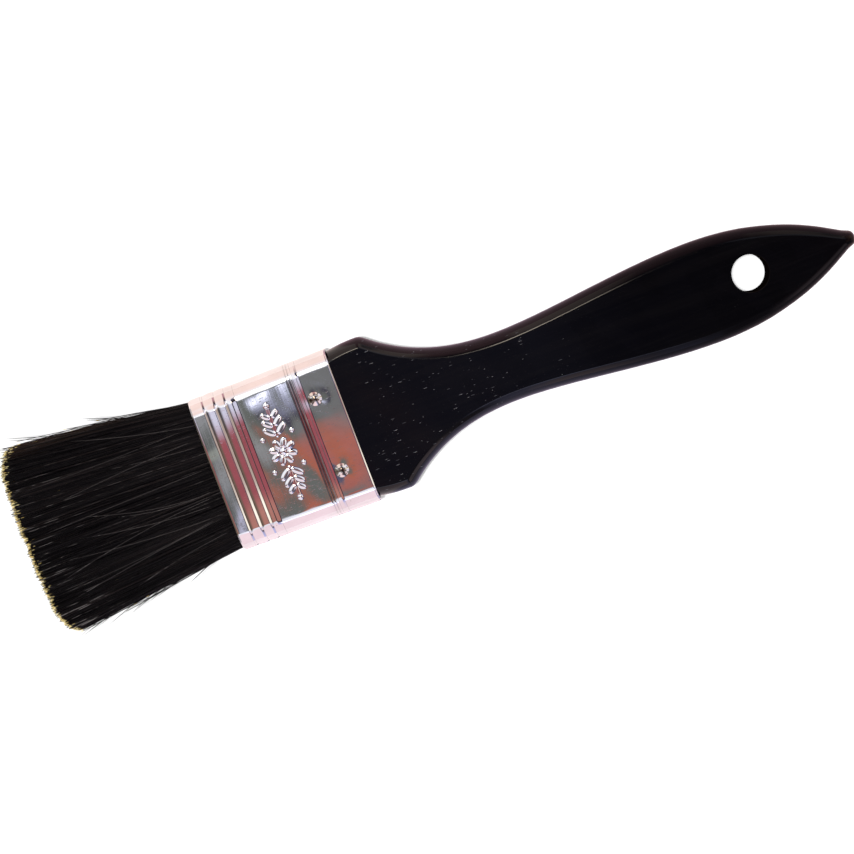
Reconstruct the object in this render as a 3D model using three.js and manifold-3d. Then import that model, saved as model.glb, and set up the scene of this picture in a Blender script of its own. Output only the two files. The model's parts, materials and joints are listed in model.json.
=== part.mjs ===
// Flat paint brush, 38 mm (1 1/2 in): black lacquered wooden handle, beaded tinplate ferrule held by
// four domed nails, and a pack of black natural bristle set in resin round a wooden filler plug.
// Units are millimetres. The brush lies on its rear face: +X runs from the ferrule towards the
// handle's tail, +Y across the width, +Z out of the front face. The origin is the centre of the
// ferrule's rear flat panel.
import * as THREE from "three";
import { mergeVertices } from "three/addons/utils/BufferGeometryUtils.js";
import Module from "manifold-3d";

// ---------------------------------------------------------------- shared dimensions
const FERRULE_OPEN_X = 17.4; // open end, where the handle goes in
const FERRULE_MOUTH_X = -FERRULE_OPEN_X; // mouth, where the bristle comes out
const FERRULE_HALF_T = 5.2;
const MID_Z = FERRULE_HALF_T; // the brush's middle plane

const NAIL_X = 11.45;
const NAIL_Y = 9.1;
// name, y, side: 1 on the front face, -1 on the rear
const NAILS = [
  ["nail_front_left", NAIL_Y, 1],
  ["nail_front_right", -NAIL_Y, 1],
  ["nail_rear_left", NAIL_Y, -1],
  ["nail_rear_right", -NAIL_Y, -1],
];

const GAP = 0.1; // clearance between neighbouring bristle parts, plug and resin
const CORNER_STEPS = 6; // facets in a rounded corner
const CUT_OVERSHOOT = 1; // how far a cutter runs past the face it enters by

// ---------------------------------------------------------------- materials
const lacquer = new THREE.MeshStandardMaterial({
  color: 0x0b0a0c,
  roughness: 0.28,
  metalness: 0,
});
const tinplate = new THREE.MeshStandardMaterial({
  color: 0xc9c9cc,
  roughness: 0.16,
  metalness: 1,
});
const nailSteel = new THREE.MeshStandardMaterial({
  color: 0xd2d2d4,
  roughness: 0.12,
  metalness: 1,
});
const bareWood = new THREE.MeshStandardMaterial({
  color: 0xc79e66,
  roughness: 0.75,
  metalness: 0,
});
const resin = new THREE.MeshStandardMaterial({
  color: 0xa8691f,
  roughness: 0.35,
  metalness: 0,
});
const bristle = new THREE.MeshStandardMaterial({
  color: 0x0d0a09,
  roughness: 0.45,
  metalness: 0,
});

// ---------------------------------------------------------------- solids
const wasm = await Module();
wasm.setup();

function toManifold(geometry) {
  // with normals or uvs left in, the vertices along a crease would not merge
  geometry.deleteAttribute("normal");
  geometry.deleteAttribute("uv");
  const merged = mergeVertices(geometry, 1e-4);
  return new wasm.Manifold(
    new wasm.Mesh({
      numProp: 3,
      vertProperties: new Float32Array(merged.attributes.position.array),
      triVerts: new Uint32Array(merged.index.array),
    }),
  );
}

function fromManifold(solid) {
  const mesh = solid.getMesh();
  const geometry = new THREE.BufferGeometry();
  const position = new Float32Array(mesh.vertProperties);
  geometry.setAttribute("position", new THREE.BufferAttribute(position, 3));
  geometry.setIndex(new THREE.BufferAttribute(new Uint32Array(mesh.triVerts), 1));
  geometry.computeVertexNormals();
  return geometry;
}

// Builds a geometry from a closed surface, turning it inside out if its volume comes out negative.
function closedGeometry(points, triangles) {
  let volume = 0;
  for (const triangle of triangles) {
    const [p, q, r] = triangle.map((index) => new THREE.Vector3(...points[index]));
    volume += p.dot(q.cross(r));
  }
  const facingOut = volume < 0 ? triangles.map(([a, b, c]) => [a, c, b]) : triangles;
  const geometry = new THREE.BufferGeometry();
  geometry.setAttribute("position", new THREE.Float32BufferAttribute(points.flat(), 3));
  geometry.setIndex(facingOut.flat());
  geometry.computeVertexNormals();
  return geometry;
}

// Triangles between successive rings of equal size; closed also joins the last ring to the first.
function joinRings(ringCount, ringSize, closed = false) {
  const triangles = [];
  for (let k = 0; k < (closed ? ringCount : ringCount - 1); k++) {
    const base = k * ringSize;
    const nextBase = ((k + 1) % ringCount) * ringSize;
    for (let i = 0; i < ringSize; i++) {
      const j = (i + 1) % ringSize;
      triangles.push([base + i, base + j, nextBase + j]);
      triangles.push([base + i, nextBase + j, nextBase + i]);
    }
  }
  return triangles;
}

function capRing(ring, base, flip) {
  const flat = ring.map(([, y, z]) => new THREE.Vector2(y, z));
  const turned = flip !== THREE.ShapeUtils.isClockWise(flat);
  return THREE.ShapeUtils.triangulateShape(flat, []).map(([a, b, c]) =>
    turned ? [base + a, base + c, base + b] : [base + a, base + b, base + c],
  );
}

// Joins rings, each a closed loop round the X direction, and caps the two end rings.
function loft(rings) {
  const ringSize = rings[0].length;
  return closedGeometry(rings.flat(), [
    ...joinRings(rings.length, ringSize),
    ...capRing(rings[0], 0, true),
    ...capRing(rings.at(-1), (rings.length - 1) * ringSize, false),
  ]);
}

// A rounded rectangle as [y, z, normal y, normal z], counter-clockwise seen from +X, starting on
// the +Y side. Each corner gives steps + 1 points.
function roundedRect(halfW, halfT, radius, steps = CORNER_STEPS) {
  const centreY = halfW - radius;
  const centreZ = halfT - radius;
  const corners = [
    [centreY, centreZ],
    [-centreY, centreZ],
    [-centreY, -centreZ],
    [centreY, -centreZ],
  ];
  return corners.flatMap(([y, z], quarter) =>
    Array.from({ length: steps + 1 }, (_, i) => {
      const angle = (quarter + i / steps) * (Math.PI / 2);
      const normalY = Math.cos(angle);
      const normalZ = Math.sin(angle);
      return [y + radius * normalY, z + radius * normalZ, normalY, normalZ];
    }),
  );
}

// The two corners of a rounded rectangle above the middle plane, from +Y to -Y.
function upperCorners(halfW, halfT, radius) {
  return roundedRect(halfW, halfT, radius)
    .slice(0, 2 * (CORNER_STEPS + 1))
    .map(([y, z]) => [y, z]);
}

function prism(outline, x0, x1) {
  const ringAt = (x) => outline.map(([y, z]) => [x, y, MID_Z + z]);
  return loft([ringAt(x0), ringAt(x1)]);
}

// A round cutter along Z, centred on (x, y, z).
function drill(radius, length, x, y, z, segments) {
  const cutter = new THREE.CylinderGeometry(radius, radius, length, segments);
  cutter.rotateX(Math.PI / 2);
  cutter.translate(x, y, z);
  return toManifold(cutter);
}

// Drills all four nail places to a depth under the faces that lie halfT from the middle plane.
function drillNailHoles(solid, radius, halfT, depth) {
  const centre = halfT + (CUT_OVERSHOOT - depth) / 2;
  for (const [, y, side] of NAILS) {
    const z = MID_Z + side * centre;
    solid = solid.subtract(drill(radius, depth + CUT_OVERSHOOT, NAIL_X, y, z, 16));
  }
  return solid;
}

// ---------------------------------------------------------------- ferrule
const FERRULE_HALF_W_MOUTH = 18.95;
const FERRULE_HALF_W_OPEN = 19.35;
const FERRULE_CORNER_R = 4.0;
const SHEET_T = 0.35;
const NAIL_HOLE_R = 0.9;
const NAIL_HOLE_DEPTH = 1; // enough to pass through the sheet
const NAIL_PANEL_X = NAIL_X - 1.6; // station between the last bead and the nails
// centre x, half width, height
const BEADS = [
  [-13.0, 1.32, 0.45],
  [-10.25, 1.32, 0.45],
  [-7.5, 1.32, 0.45],
  [6.75, 0.6, 0.15],
  [8.45, 1.05, 0.42],
];
const BEAD_POWER = 0.75; // fullness of a bead's section
const BEAD_STATIONS = [-1, -0.86, -0.6, -0.3, 0, 0.3, 0.6, 0.86, 1]; // in half widths
// The lap seam on the narrow side at -Y: z from the middle plane, step out from the outer skin
const SEAM_STEP = 0.3;
const SEAM_PROFILE = [
  [0.7, 0],
  [0.2, SEAM_STEP],
  [-0.55, SEAM_STEP],
  [-0.6, 0],
];

function beadLift(x) {
  for (const [centre, halfWidth, height] of BEADS) {
    const offset = (x - centre) / halfWidth;
    if (Math.abs(offset) < 1) return height * Math.pow(1 - offset * offset, BEAD_POWER);
  }
  return 0;
}

// One skin of the sleeve at x, outer or inner.
function ferruleRing(x, isOuter) {
  const along = (x - FERRULE_MOUTH_X) / (FERRULE_OPEN_X - FERRULE_MOUTH_X);
  const halfW = FERRULE_HALF_W_MOUTH + (FERRULE_HALF_W_OPEN - FERRULE_HALF_W_MOUTH) * along;
  const outset = beadLift(x) - (isOuter ? 0 : SHEET_T);
  const ring = roundedRect(halfW, FERRULE_HALF_T, FERRULE_CORNER_R).map(
    ([y, z, normalY, normalZ]) => [x, y + normalY * outset, MID_Z + z + normalZ * outset],
  );
  const seam = SEAM_PROFILE.map(([z, step]) => [
    x,
    -halfW - outset - (isOuter ? step : 0),
    MID_Z + z,
  ]);
  // the seam lies between the second and third corners
  ring.splice(2 * (CORNER_STEPS + 1), 0, ...seam);
  return ring;
}

function makeFerrule() {
  const stations = [
    FERRULE_MOUTH_X,
    ...BEADS.flatMap(([centre, halfWidth]) => BEAD_STATIONS.map((u) => centre + u * halfWidth)),
    NAIL_PANEL_X,
    FERRULE_OPEN_X,
  ];
  // out along the outer skin and back along the inner
  const outer = stations.map((x) => ferruleRing(x, true));
  const inner = stations.map((x) => ferruleRing(x, false)).reverse();
  const rings = [...outer, ...inner];
  const sleeve = closedGeometry(rings.flat(), joinRings(rings.length, rings[0].length, true));
  return fromManifold(
    drillNailHoles(toManifold(sleeve), NAIL_HOLE_R, FERRULE_HALF_T, NAIL_HOLE_DEPTH),
  );
}

// ---------------------------------------------------------------- handle
const HANDLE_HALF_T = 4.6;
const ROUNDOVER = 2.5; // width of the rounded edge seen from above
const ROUNDOVER_MAX_SHARE = 0.86; // of the half width, where the handle is narrow
const EDGE_ARC = (72.5 * Math.PI) / 180; // the round stops here, at a ridge along the flat face
const EDGE_STEPS = 7;

const TANG_END_X = 0.8;
const TANG_HALF_W = 18.45;
const TANG_BEVEL = { length: 0.6, width: 0.5, thickness: 0.4 }; // at the tang's end
const TANG_STATION_OFFSET = 2.5; // stations either side of the nails

const TAIL_EASE_LENGTH = 4.5; // the tail is eased in thickness as well as in width
const TAIL_EASE = 0.42; // share of the thickness lost at the tip
// distance from the ferrule's open end, half width
const HANDLE_OUTLINE = [
  [0.0, 18.58], [2.0, 18.84], [4.2, 19.1], [6.4, 19.2], [8.1, 19.2],
  [8.8, 19.02], [9.5, 18.64], [10.6, 17.76], [12.2, 16.52], [14.0, 15.3],
  [16.1, 14.04], [18.4, 12.84], [21.0, 11.72], [24.0, 10.67], [27.5, 9.75],
  [31.5, 9.06], [36.0, 8.66], [40.0, 8.57], [46.0, 8.81], [52.0, 9.3],
  [58.0, 9.93], [64.0, 10.62], [70.0, 11.27], [76.0, 11.86], [82.0, 12.29],
  [88.0, 12.5], [93.0, 12.43], [98.0, 12.05], [102.5, 11.4], [106.5, 10.5],
  [110.5, 9.38], [114.5, 7.98], [118.0, 6.45], [121.0, 4.9], [123.6, 3.4],
  [125.6, 2.35], [126.9, 1.85], [127.7, 1.3], [128.1, 0.7],
];
const HANDLE_LENGTH = HANDLE_OUTLINE.at(-1)[0]; // outside the ferrule

const HANG_HOLE_X = FERRULE_OPEN_X + 101.3;
const HANG_HOLE_Y = 0.6; // drilled a little off centre
const HANG_HOLE_R = 4.4;
const HANG_DRILL_LENGTH = 12;
const PILOT_R = 0.82;
const PILOT_DEPTH = 4.0;

// Fully rounded sides that meet the flat faces at a ridge.
function handleRing(x, halfW, halfT) {
  const depth = Math.min(ROUNDOVER, halfW * ROUNDOVER_MAX_SHARE);
  const radius = depth / (1 - Math.cos(EDGE_ARC));
  const quarter = [];
  for (let i = 0; i <= EDGE_STEPS; i++) {
    const angle = (EDGE_ARC * i) / EDGE_STEPS;
    quarter.push([
      halfW - radius * (1 - Math.cos(angle)),
      (halfT * Math.sin(angle)) / Math.sin(EDGE_ARC),
    ]);
  }
  const back = [...quarter].reverse();
  return [
    ...quarter,
    ...back.map(([y, z]) => [-y, z]),
    ...quarter.slice(1).map(([y, z]) => [-y, -z]),
    ...back.slice(0, -1).map(([y, z]) => [y, -z]),
  ].map(([y, z]) => [x, y, MID_Z + z]);
}

function makeHandle() {
  const tangXs = [
    TANG_END_X + TANG_BEVEL.length,
    NAIL_X - TANG_STATION_OFFSET,
    NAIL_X + TANG_STATION_OFFSET,
  ];
  const rings = [
    handleRing(
      TANG_END_X,
      TANG_HALF_W - TANG_BEVEL.width,
      HANDLE_HALF_T - TANG_BEVEL.thickness,
    ),
    ...tangXs.map((x) => handleRing(x, TANG_HALF_W, HANDLE_HALF_T)),
  ];
  for (const [distance, halfW] of HANDLE_OUTLINE) {
    const intoTail = distance - (HANDLE_LENGTH - TAIL_EASE_LENGTH);
    const ease = Math.max(0, intoTail / TAIL_EASE_LENGTH);
    const halfT = HANDLE_HALF_T * (1 - TAIL_EASE * ease * ease);
    rings.push(handleRing(FERRULE_OPEN_X + distance, halfW, halfT));
  }
  const holed = toManifold(loft(rings)).subtract(
    drill(HANG_HOLE_R, HANG_DRILL_LENGTH, HANG_HOLE_X, HANG_HOLE_Y, MID_Z, 40),
  );
  return fromManifold(drillNailHoles(holed, PILOT_R, HANDLE_HALF_T, PILOT_DEPTH));
}

// ---------------------------------------------------------------- nails
const NAIL_HEAD_R = 1.9;
const NAIL_HEAD_H = 0.95;
const NAIL_RIM_H = 0.12; // height at which the dome starts
const NAIL_UNDERSIDE_R = NAIL_HEAD_R * 0.97;
const NAIL_SHANK_R = 0.7;
const NAIL_LENGTH = 4.4; // under the head
const NAIL_POINT_LENGTH = 1.1;
const NAIL_LIFT = 0.03; // underside of the head above the ferrule's face
const DOME_STEPS = 6;

// The nail stands along +Y, with the underside of its head at 0.
function makeNail() {
  const profile = [
    [0, -NAIL_LENGTH],
    [NAIL_SHANK_R, -NAIL_LENGTH + NAIL_POINT_LENGTH],
    [NAIL_SHANK_R, 0],
    [NAIL_UNDERSIDE_R, 0],
  ];
  for (let i = 0; i < DOME_STEPS; i++) {
    const angle = (i / DOME_STEPS) * (Math.PI / 2);
    profile.push([
      NAIL_HEAD_R * Math.cos(angle),
      NAIL_RIM_H + (NAIL_HEAD_H - NAIL_RIM_H) * Math.sin(angle),
    ]);
  }
  profile.push([0, NAIL_HEAD_H]);
  return new THREE.LatheGeometry(
    profile.map(([radius, y]) => new THREE.Vector2(radius, y)),
    24,
  );
}

// ---------------------------------------------------------------- filler plug
const PLUG_X0 = -16.0;
const PLUG_X1 = -4.3;
const PLUG_HALF_W = 14.0;
const PLUG_HALF_T = 1.35;
const PLUG_CORNER_R = 1.1;

function makePlug() {
  return prism(roundedRect(PLUG_HALF_W, PLUG_HALF_T, PLUG_CORNER_R, 4), PLUG_X0, PLUG_X1);
}

// ---------------------------------------------------------------- bristle setting
// The cured resin that holds the bristle's butts in a pocket open towards the mouth.
const SETTING_X0 = -8.2;
const SETTING_X1 = 0.2;
const SETTING_SECTION = [18.45, 4.72, 3.6]; // half width, half thickness, corner radius
const SETTING_WALL = 0.5;
const POCKET_SECTION = SETTING_SECTION.map((size) => size - SETTING_WALL);
const POCKET_END_X = SETTING_X0 + 4.2;

function makeSetting() {
  const block = prism(roundedRect(...SETTING_SECTION), SETTING_X0, SETTING_X1);
  const pocket = prism(
    roundedRect(...POCKET_SECTION),
    SETTING_X0 - CUT_OVERSHOOT,
    POCKET_END_X,
  );
  return fromManifold(toManifold(block).subtract(toManifold(pocket)));
}

// ---------------------------------------------------------------- bristle roots
const BUTT_SECTION = [17.8, 4.1, 3.0]; // inside the pocket; columns as SETTING_SECTION
// x, section; the roots widen just outside the pocket
const ROOT_STATIONS = [
  [POCKET_END_X - GAP, BUTT_SECTION],
  [SETTING_X0 + 0.05, BUTT_SECTION],
  [SETTING_X0 - 0.3, SETTING_SECTION],
  [FERRULE_MOUTH_X + GAP, SETTING_SECTION],
];

// Half of the pack inside the ferrule, front (side 1) or rear (side -1), as a C round the plug.
function makeRoots(side) {
  const foot = GAP / 2;
  const slotW = PLUG_HALF_W + GAP;
  const slotT = PLUG_HALF_T + GAP;
  return loft(
    ROOT_STATIONS.map(([x, section]) => {
      const halfW = section[0];
      const outline = [
        [halfW, foot],
        ...upperCorners(...section),
        [-halfW, foot],
        [-slotW, foot],
        [-slotW, slotT],
        [slotW, slotT],
        [slotW, foot],
      ];
      return outline.map(([y, z]) => [x, y, MID_Z + side * z]);
    }),
  );
}

// ---------------------------------------------------------------- free bristle
const FREE_LENGTH = 49.0; // out of the ferrule, on the centre line
const END_BOW = 3.9; // the bristles at the tips' full half width stop this much short
const END_BOW_POWER = 2.6;
const BANK_MOUTH_HALF_W = 18.4;
const BANK_MOUTH_HALF_T = 4.65;
const BANK_TIP_HALF_W = 23.3;
const BANK_TIP_HALF_T = 3.5;
const FLARE_POWER = 0.85; // below 1 the pack widens faster near the ferrule
const BANK_CORNER_R = 3.5;
const BANK_CORNER_MAX_SHARE = 0.8; // of the half thickness
const FOOT_GAP = 0.25; // from the ferrule's mouth, at the middle plane
const FLEX_CLEARANCE = 0.72; // slope of the pack's foot, so that it can bend 35 degrees
const BANK_LEVELS = 9;
const BANK_FACE_STEPS = 12; // across the flat of the face

// The outline of a bank at fraction t of its length: over the top from +Y to -Y, and back along
// the middle plane below the same points.
function bankOutline(t) {
  const halfW =
    BANK_MOUTH_HALF_W + (BANK_TIP_HALF_W - BANK_MOUTH_HALF_W) * Math.pow(t, FLARE_POWER);
  const halfT = BANK_MOUTH_HALF_T + (BANK_TIP_HALF_T - BANK_MOUTH_HALF_T) * t;
  const radius = Math.min(BANK_CORNER_R, halfT * BANK_CORNER_MAX_SHARE);
  const corners = upperCorners(halfW, halfT, radius);
  const top = corners.slice(0, CORNER_STEPS + 1);
  for (let i = 1; i < BANK_FACE_STEPS; i++)
    top.push([(halfW - radius) * (1 - (2 * i) / BANK_FACE_STEPS), halfT]);
  top.push(...corners.slice(CORNER_STEPS + 1));
  const underside = top.map(([y]) => [y, GAP / 2]).reverse();
  return [...top, ...underside];
}

// The free length of one bank. Each outline point has its own start and end in x: the foot slopes
// away from the middle plane, and the tips follow a shallow arc across the width.
function makeBank(side) {
  const rings = [];
  for (let k = 0; k <= BANK_LEVELS; k++) {
    const t = k / BANK_LEVELS;
    rings.push(
      bankOutline(t).map(([y, z]) => {
        const start = FERRULE_MOUTH_X - FOOT_GAP - FLEX_CLEARANCE * z;
        const bow = END_BOW * Math.pow(Math.abs(y) / BANK_TIP_HALF_W, END_BOW_POWER);
        const end = FERRULE_MOUTH_X - FREE_LENGTH + bow;
        return [start + (end - start) * t, y, MID_Z + side * z];
      }),
    );
  }
  const ringSize = rings[0].length;
  const triangles = joinRings(rings.length, ringSize);
  // the ends are curved, so each is capped by a strip from the top to the underside
  for (const [base, flip] of [
    [0, true],
    [BANK_LEVELS * ringSize, false],
  ])
    for (let i = 0; i + 1 < ringSize / 2; i++) {
      const a = base + i;
      const b = a + 1;
      const c = base + ringSize - 2 - i;
      const d = c + 1;
      if (flip) triangles.push([a, c, b], [a, d, c]);
      else triangles.push([a, b, c], [a, c, d]);
    }
  return closedGeometry(rings.flat(), triangles);
}

// ---------------------------------------------------------------- assembly
function add(parent, name, geometry, material) {
  const mesh = new THREE.Mesh(geometry, material);
  mesh.name = name;
  parent.add(mesh);
  return mesh;
}

const brush = new THREE.Group();
brush.name = "flat_paint_brush";

add(brush, "handle", makeHandle(), lacquer);
add(brush, "ferrule", makeFerrule(), tinplate);

for (const [name, y, side] of NAILS) {
  const nail = add(brush, name, makeNail(), nailSteel);
  nail.rotation.x = (side * Math.PI) / 2;
  nail.position.set(NAIL_X, y, MID_Z + side * (FERRULE_HALF_T + NAIL_LIFT));
}

add(brush, "filler_plug", makePlug(), bareWood);
add(brush, "bristle_setting", makeSetting(), resin);
add(brush, "bristle_roots_front", makeRoots(1), bristle);
add(brush, "bristle_roots_rear", makeRoots(-1), bristle);

const pack = new THREE.Group();
pack.name = "bristle_pack";
brush.add(pack);
add(pack, "bristle_bank_front", makeBank(1), bristle);
add(pack, "bristle_bank_rear", makeBank(-1), bristle);

export default brush;
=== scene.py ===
# Flat paint brush, 38 mm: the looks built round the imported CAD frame.
# Shapes are worked out in millimetres in the frame's own axes (+X to the handle's tail, +Y across the width,
# +Z out of the front face) and go into Blender in metres.
import json
import math

import bpy
import numpy as np
from mathutils import Matrix, Vector

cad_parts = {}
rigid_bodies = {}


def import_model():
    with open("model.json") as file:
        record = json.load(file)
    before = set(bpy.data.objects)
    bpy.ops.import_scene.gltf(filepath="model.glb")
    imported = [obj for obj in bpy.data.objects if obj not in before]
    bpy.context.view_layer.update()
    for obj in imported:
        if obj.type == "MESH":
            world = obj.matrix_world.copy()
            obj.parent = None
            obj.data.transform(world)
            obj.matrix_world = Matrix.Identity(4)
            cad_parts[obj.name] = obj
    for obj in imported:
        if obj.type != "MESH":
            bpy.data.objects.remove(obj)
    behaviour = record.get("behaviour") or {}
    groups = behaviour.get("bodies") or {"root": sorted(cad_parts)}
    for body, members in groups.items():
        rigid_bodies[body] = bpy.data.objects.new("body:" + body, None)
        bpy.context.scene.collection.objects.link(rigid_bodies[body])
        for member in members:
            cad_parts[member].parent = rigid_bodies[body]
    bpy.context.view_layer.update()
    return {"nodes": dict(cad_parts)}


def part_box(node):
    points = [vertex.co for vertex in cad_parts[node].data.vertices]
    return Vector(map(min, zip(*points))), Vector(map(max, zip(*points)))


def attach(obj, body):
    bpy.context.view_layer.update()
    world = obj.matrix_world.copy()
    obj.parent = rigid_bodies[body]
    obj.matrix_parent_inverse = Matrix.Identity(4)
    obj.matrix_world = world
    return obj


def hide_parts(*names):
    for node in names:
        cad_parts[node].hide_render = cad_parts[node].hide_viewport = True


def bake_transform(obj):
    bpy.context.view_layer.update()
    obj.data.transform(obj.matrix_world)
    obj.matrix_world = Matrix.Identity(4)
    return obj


for thing in list(bpy.data.objects):
    bpy.data.objects.remove(thing, do_unlink=True)

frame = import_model()

MM = 0.001


def box_mm(node):
    lo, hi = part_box(node)
    return np.array(lo) / MM, np.array(hi) / MM


fer_lo, fer_hi = box_mm("ferrule")
han_lo, han_hi = box_mm("handle")
bank_lo, bank_hi = box_mm("bristle_bank_front")
MID = float((han_lo[2] + han_hi[2]) / 2)  # the brush's middle plane
MOUTH = float(fer_lo[0])
OPEN = float(fer_hi[0])
TIP = float(bank_lo[0])
FREE = MOUTH - TIP
HANDLE_T = float(han_hi[2] - MID)
HOLE_X, HOLE_Y, HOLE_R = OPEN + 101.3, 0.65, 4.5  # the hang hole
NAILS = []
for nail in ("nail_front_left", "nail_front_right", "nail_rear_left", "nail_rear_right"):
    lo, hi = box_mm(nail)
    NAILS.append((nail, float(lo[0] + hi[0]) / 2, float(lo[1] + hi[1]) / 2, 1 if hi[2] > MID + 4 else -1))

# ------------------------------------------------------------------ mesh helpers


def make_mesh(name, verts, faces, smooth=True):
    me = bpy.data.meshes.new(name)
    me.from_pydata((np.asarray(verts, float) * MM).tolist(), [], faces)
    me.update(calc_edges=True)
    if smooth:
        me.polygons.foreach_set("use_smooth", np.ones(len(me.polygons), bool))
    return me


def make_object(name, me, material=None):
    ob = bpy.data.objects.new(name, me)
    bpy.context.scene.collection.objects.link(ob)
    if material is not None:
        me.materials.append(material)
    return ob


def weld(ob, distance=1e-3):
    import bmesh

    bm = bmesh.new()
    bm.from_mesh(ob.data)
    bmesh.ops.remove_doubles(bm, verts=bm.verts, dist=distance * MM)
    bmesh.ops.dissolve_degenerate(bm, edges=bm.edges, dist=1e-4 * MM)
    bmesh.ops.recalc_face_normals(bm, faces=bm.faces)
    bm.to_mesh(ob.data)
    bm.free()


def smoothstep(a, b, x):
    t = np.clip((np.asarray(x, float) - a) / (b - a), 0, 1)
    return t * t * (3 - 2 * t)


def pchip(xs, ys, x):
    """Monotone cubic through the points."""
    xs, ys, x = np.asarray(xs, float), np.asarray(ys, float), np.asarray(x, float)
    h = np.diff(xs)
    d = np.diff(ys) / h
    m = np.zeros(len(xs))
    for i in range(1, len(xs) - 1):
        if d[i - 1] * d[i] > 0:
            w1, w2 = 2 * h[i] + h[i - 1], h[i] + 2 * h[i - 1]
            m[i] = (w1 + w2) / (w1 / d[i - 1] + w2 / d[i])
    m[0], m[-1] = d[0], d[-1]
    k = np.clip(np.searchsorted(xs, x) - 1, 0, len(h) - 1)
    t = (x - xs[k]) / h[k]
    return (
        ys[k] * (2 * t**3 - 3 * t**2 + 1)
        + m[k] * h[k] * (t**3 - 2 * t**2 + t)
        + ys[k + 1] * (-2 * t**3 + 3 * t**2)
        + m[k + 1] * h[k] * (t**3 - t**2)
    )


def strip_faces(rows, cols, closed=True, base=0, flip=False):
    """Quads between rows of a grid of rows x cols vertices; closed joins the last column to the first."""
    r = np.arange(rows - 1)[:, None]
    c = np.arange(cols if closed else cols - 1)[None, :]
    n = (c + 1) % cols
    quad = np.stack(
        np.broadcast_arrays(r * cols + c, r * cols + n, (r + 1) * cols + n, (r + 1) * cols + c),
        -1,
    ).reshape(-1, 4)
    if flip:
        quad = quad[:, ::-1]
    return (quad + base).tolist()


# ------------------------------------------------------------------ material helpers


class Nodes:
    def __init__(self, name):
        self.mat = bpy.data.materials.new(name)
        self.mat.use_nodes = True
        self.nt = self.mat.node_tree
        self.nt.nodes.clear()
        self.out = self.add("ShaderNodeOutputMaterial")
        self.bsdf = self.add("ShaderNodeBsdfPrincipled")
        self.link(self.bsdf.outputs[0], self.out.inputs[0])

    def add(self, kind, **props):
        n = self.nt.nodes.new(kind)
        for k, v in props.items():
            setattr(n, k, v)
        return n

    def link(self, a, b):
        self.nt.links.new(a, b)

    def put(self, socket, value):
        if hasattr(value, "is_output") or isinstance(value, bpy.types.NodeSocket):
            self.link(value, socket)
        else:
            socket.default_value = value

    def coords(self, scale=(1, 1, 1), offset=(0, 0, 0)):
        """Object coordinates in millimetres, stretched by scale."""
        tc = self.add("ShaderNodeTexCoord")
        mp = self.add("ShaderNodeMapping")
        mp.inputs["Scale"].default_value = [1000 * s for s in scale]
        mp.inputs["Location"].default_value = offset
        self.link(tc.outputs["Object"], mp.inputs["Vector"])
        return mp.outputs[0]

    def noise(self, vector, scale=1.0, detail=3.0, rough=0.5, distortion=0.0):
        n = self.add("ShaderNodeTexNoise")
        n.inputs["Scale"].default_value = scale
        n.inputs["Detail"].default_value = detail
        n.inputs["Roughness"].default_value = rough
        n.inputs["Distortion"].default_value = distortion
        self.link(vector, n.inputs["Vector"])
        return n.outputs["Fac"]

    def voronoi(self, vector, scale=1.0, feature="F1", randomness=1.0):
        n = self.add("ShaderNodeTexVoronoi", feature=feature)
        n.inputs["Scale"].default_value = scale
        n.inputs["Randomness"].default_value = randomness
        self.link(vector, n.inputs["Vector"])
        return n.outputs["Distance"]

    def range(self, value, a, b, c=0.0, d=1.0, smooth=False):
        n = self.add("ShaderNodeMapRange")
        if smooth:
            n.interpolation_type = "SMOOTHSTEP"
        self.put(n.inputs["Value"], value)
        for k, v in (("From Min", a), ("From Max", b), ("To Min", c), ("To Max", d)):
            n.inputs[k].default_value = v
        return n.outputs["Result"]

    def math(self, op, a, b=0.0, clamp=False):
        n = self.add("ShaderNodeMath", operation=op, use_clamp=clamp)
        self.put(n.inputs[0], a)
        self.put(n.inputs[1], b)
        return n.outputs[0]

    def mix(self, fac, a, b):
        n = self.add("ShaderNodeMix", data_type="RGBA")
        self.put(n.inputs["Factor"], fac)
        for key, v in (("A", a), ("B", b)):
            socket = [i for i in n.inputs if i.name == key and i.type == "RGBA"][0]
            self.put(socket, v)
        return [o for o in n.outputs if o.type == "RGBA"][0]

    def bump(self, height, distance, strength=1.0, normal=None):
        n = self.add("ShaderNodeBump")
        n.inputs["Distance"].default_value = distance * MM
        n.inputs["Strength"].default_value = strength
        self.link(height, n.inputs["Height"])
        if normal is not None:
            self.link(normal, n.inputs["Normal"])
        return n.outputs[0]

    def axis(self, name):
        """One object coordinate, in millimetres."""
        tc = self.add("ShaderNodeTexCoord")
        sp = self.add("ShaderNodeSeparateXYZ")
        self.link(tc.outputs["Object"], sp.inputs[0])
        return self.math("MULTIPLY", sp.outputs[name], 1000.0)

    def attribute(self, name):
        n = self.add("ShaderNodeAttribute", attribute_name=name)
        return n.outputs["Fac"]


def rgb(r, g, b):
    return (r, g, b, 1.0)


# ------------------------------------------------------------------ materials


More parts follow.
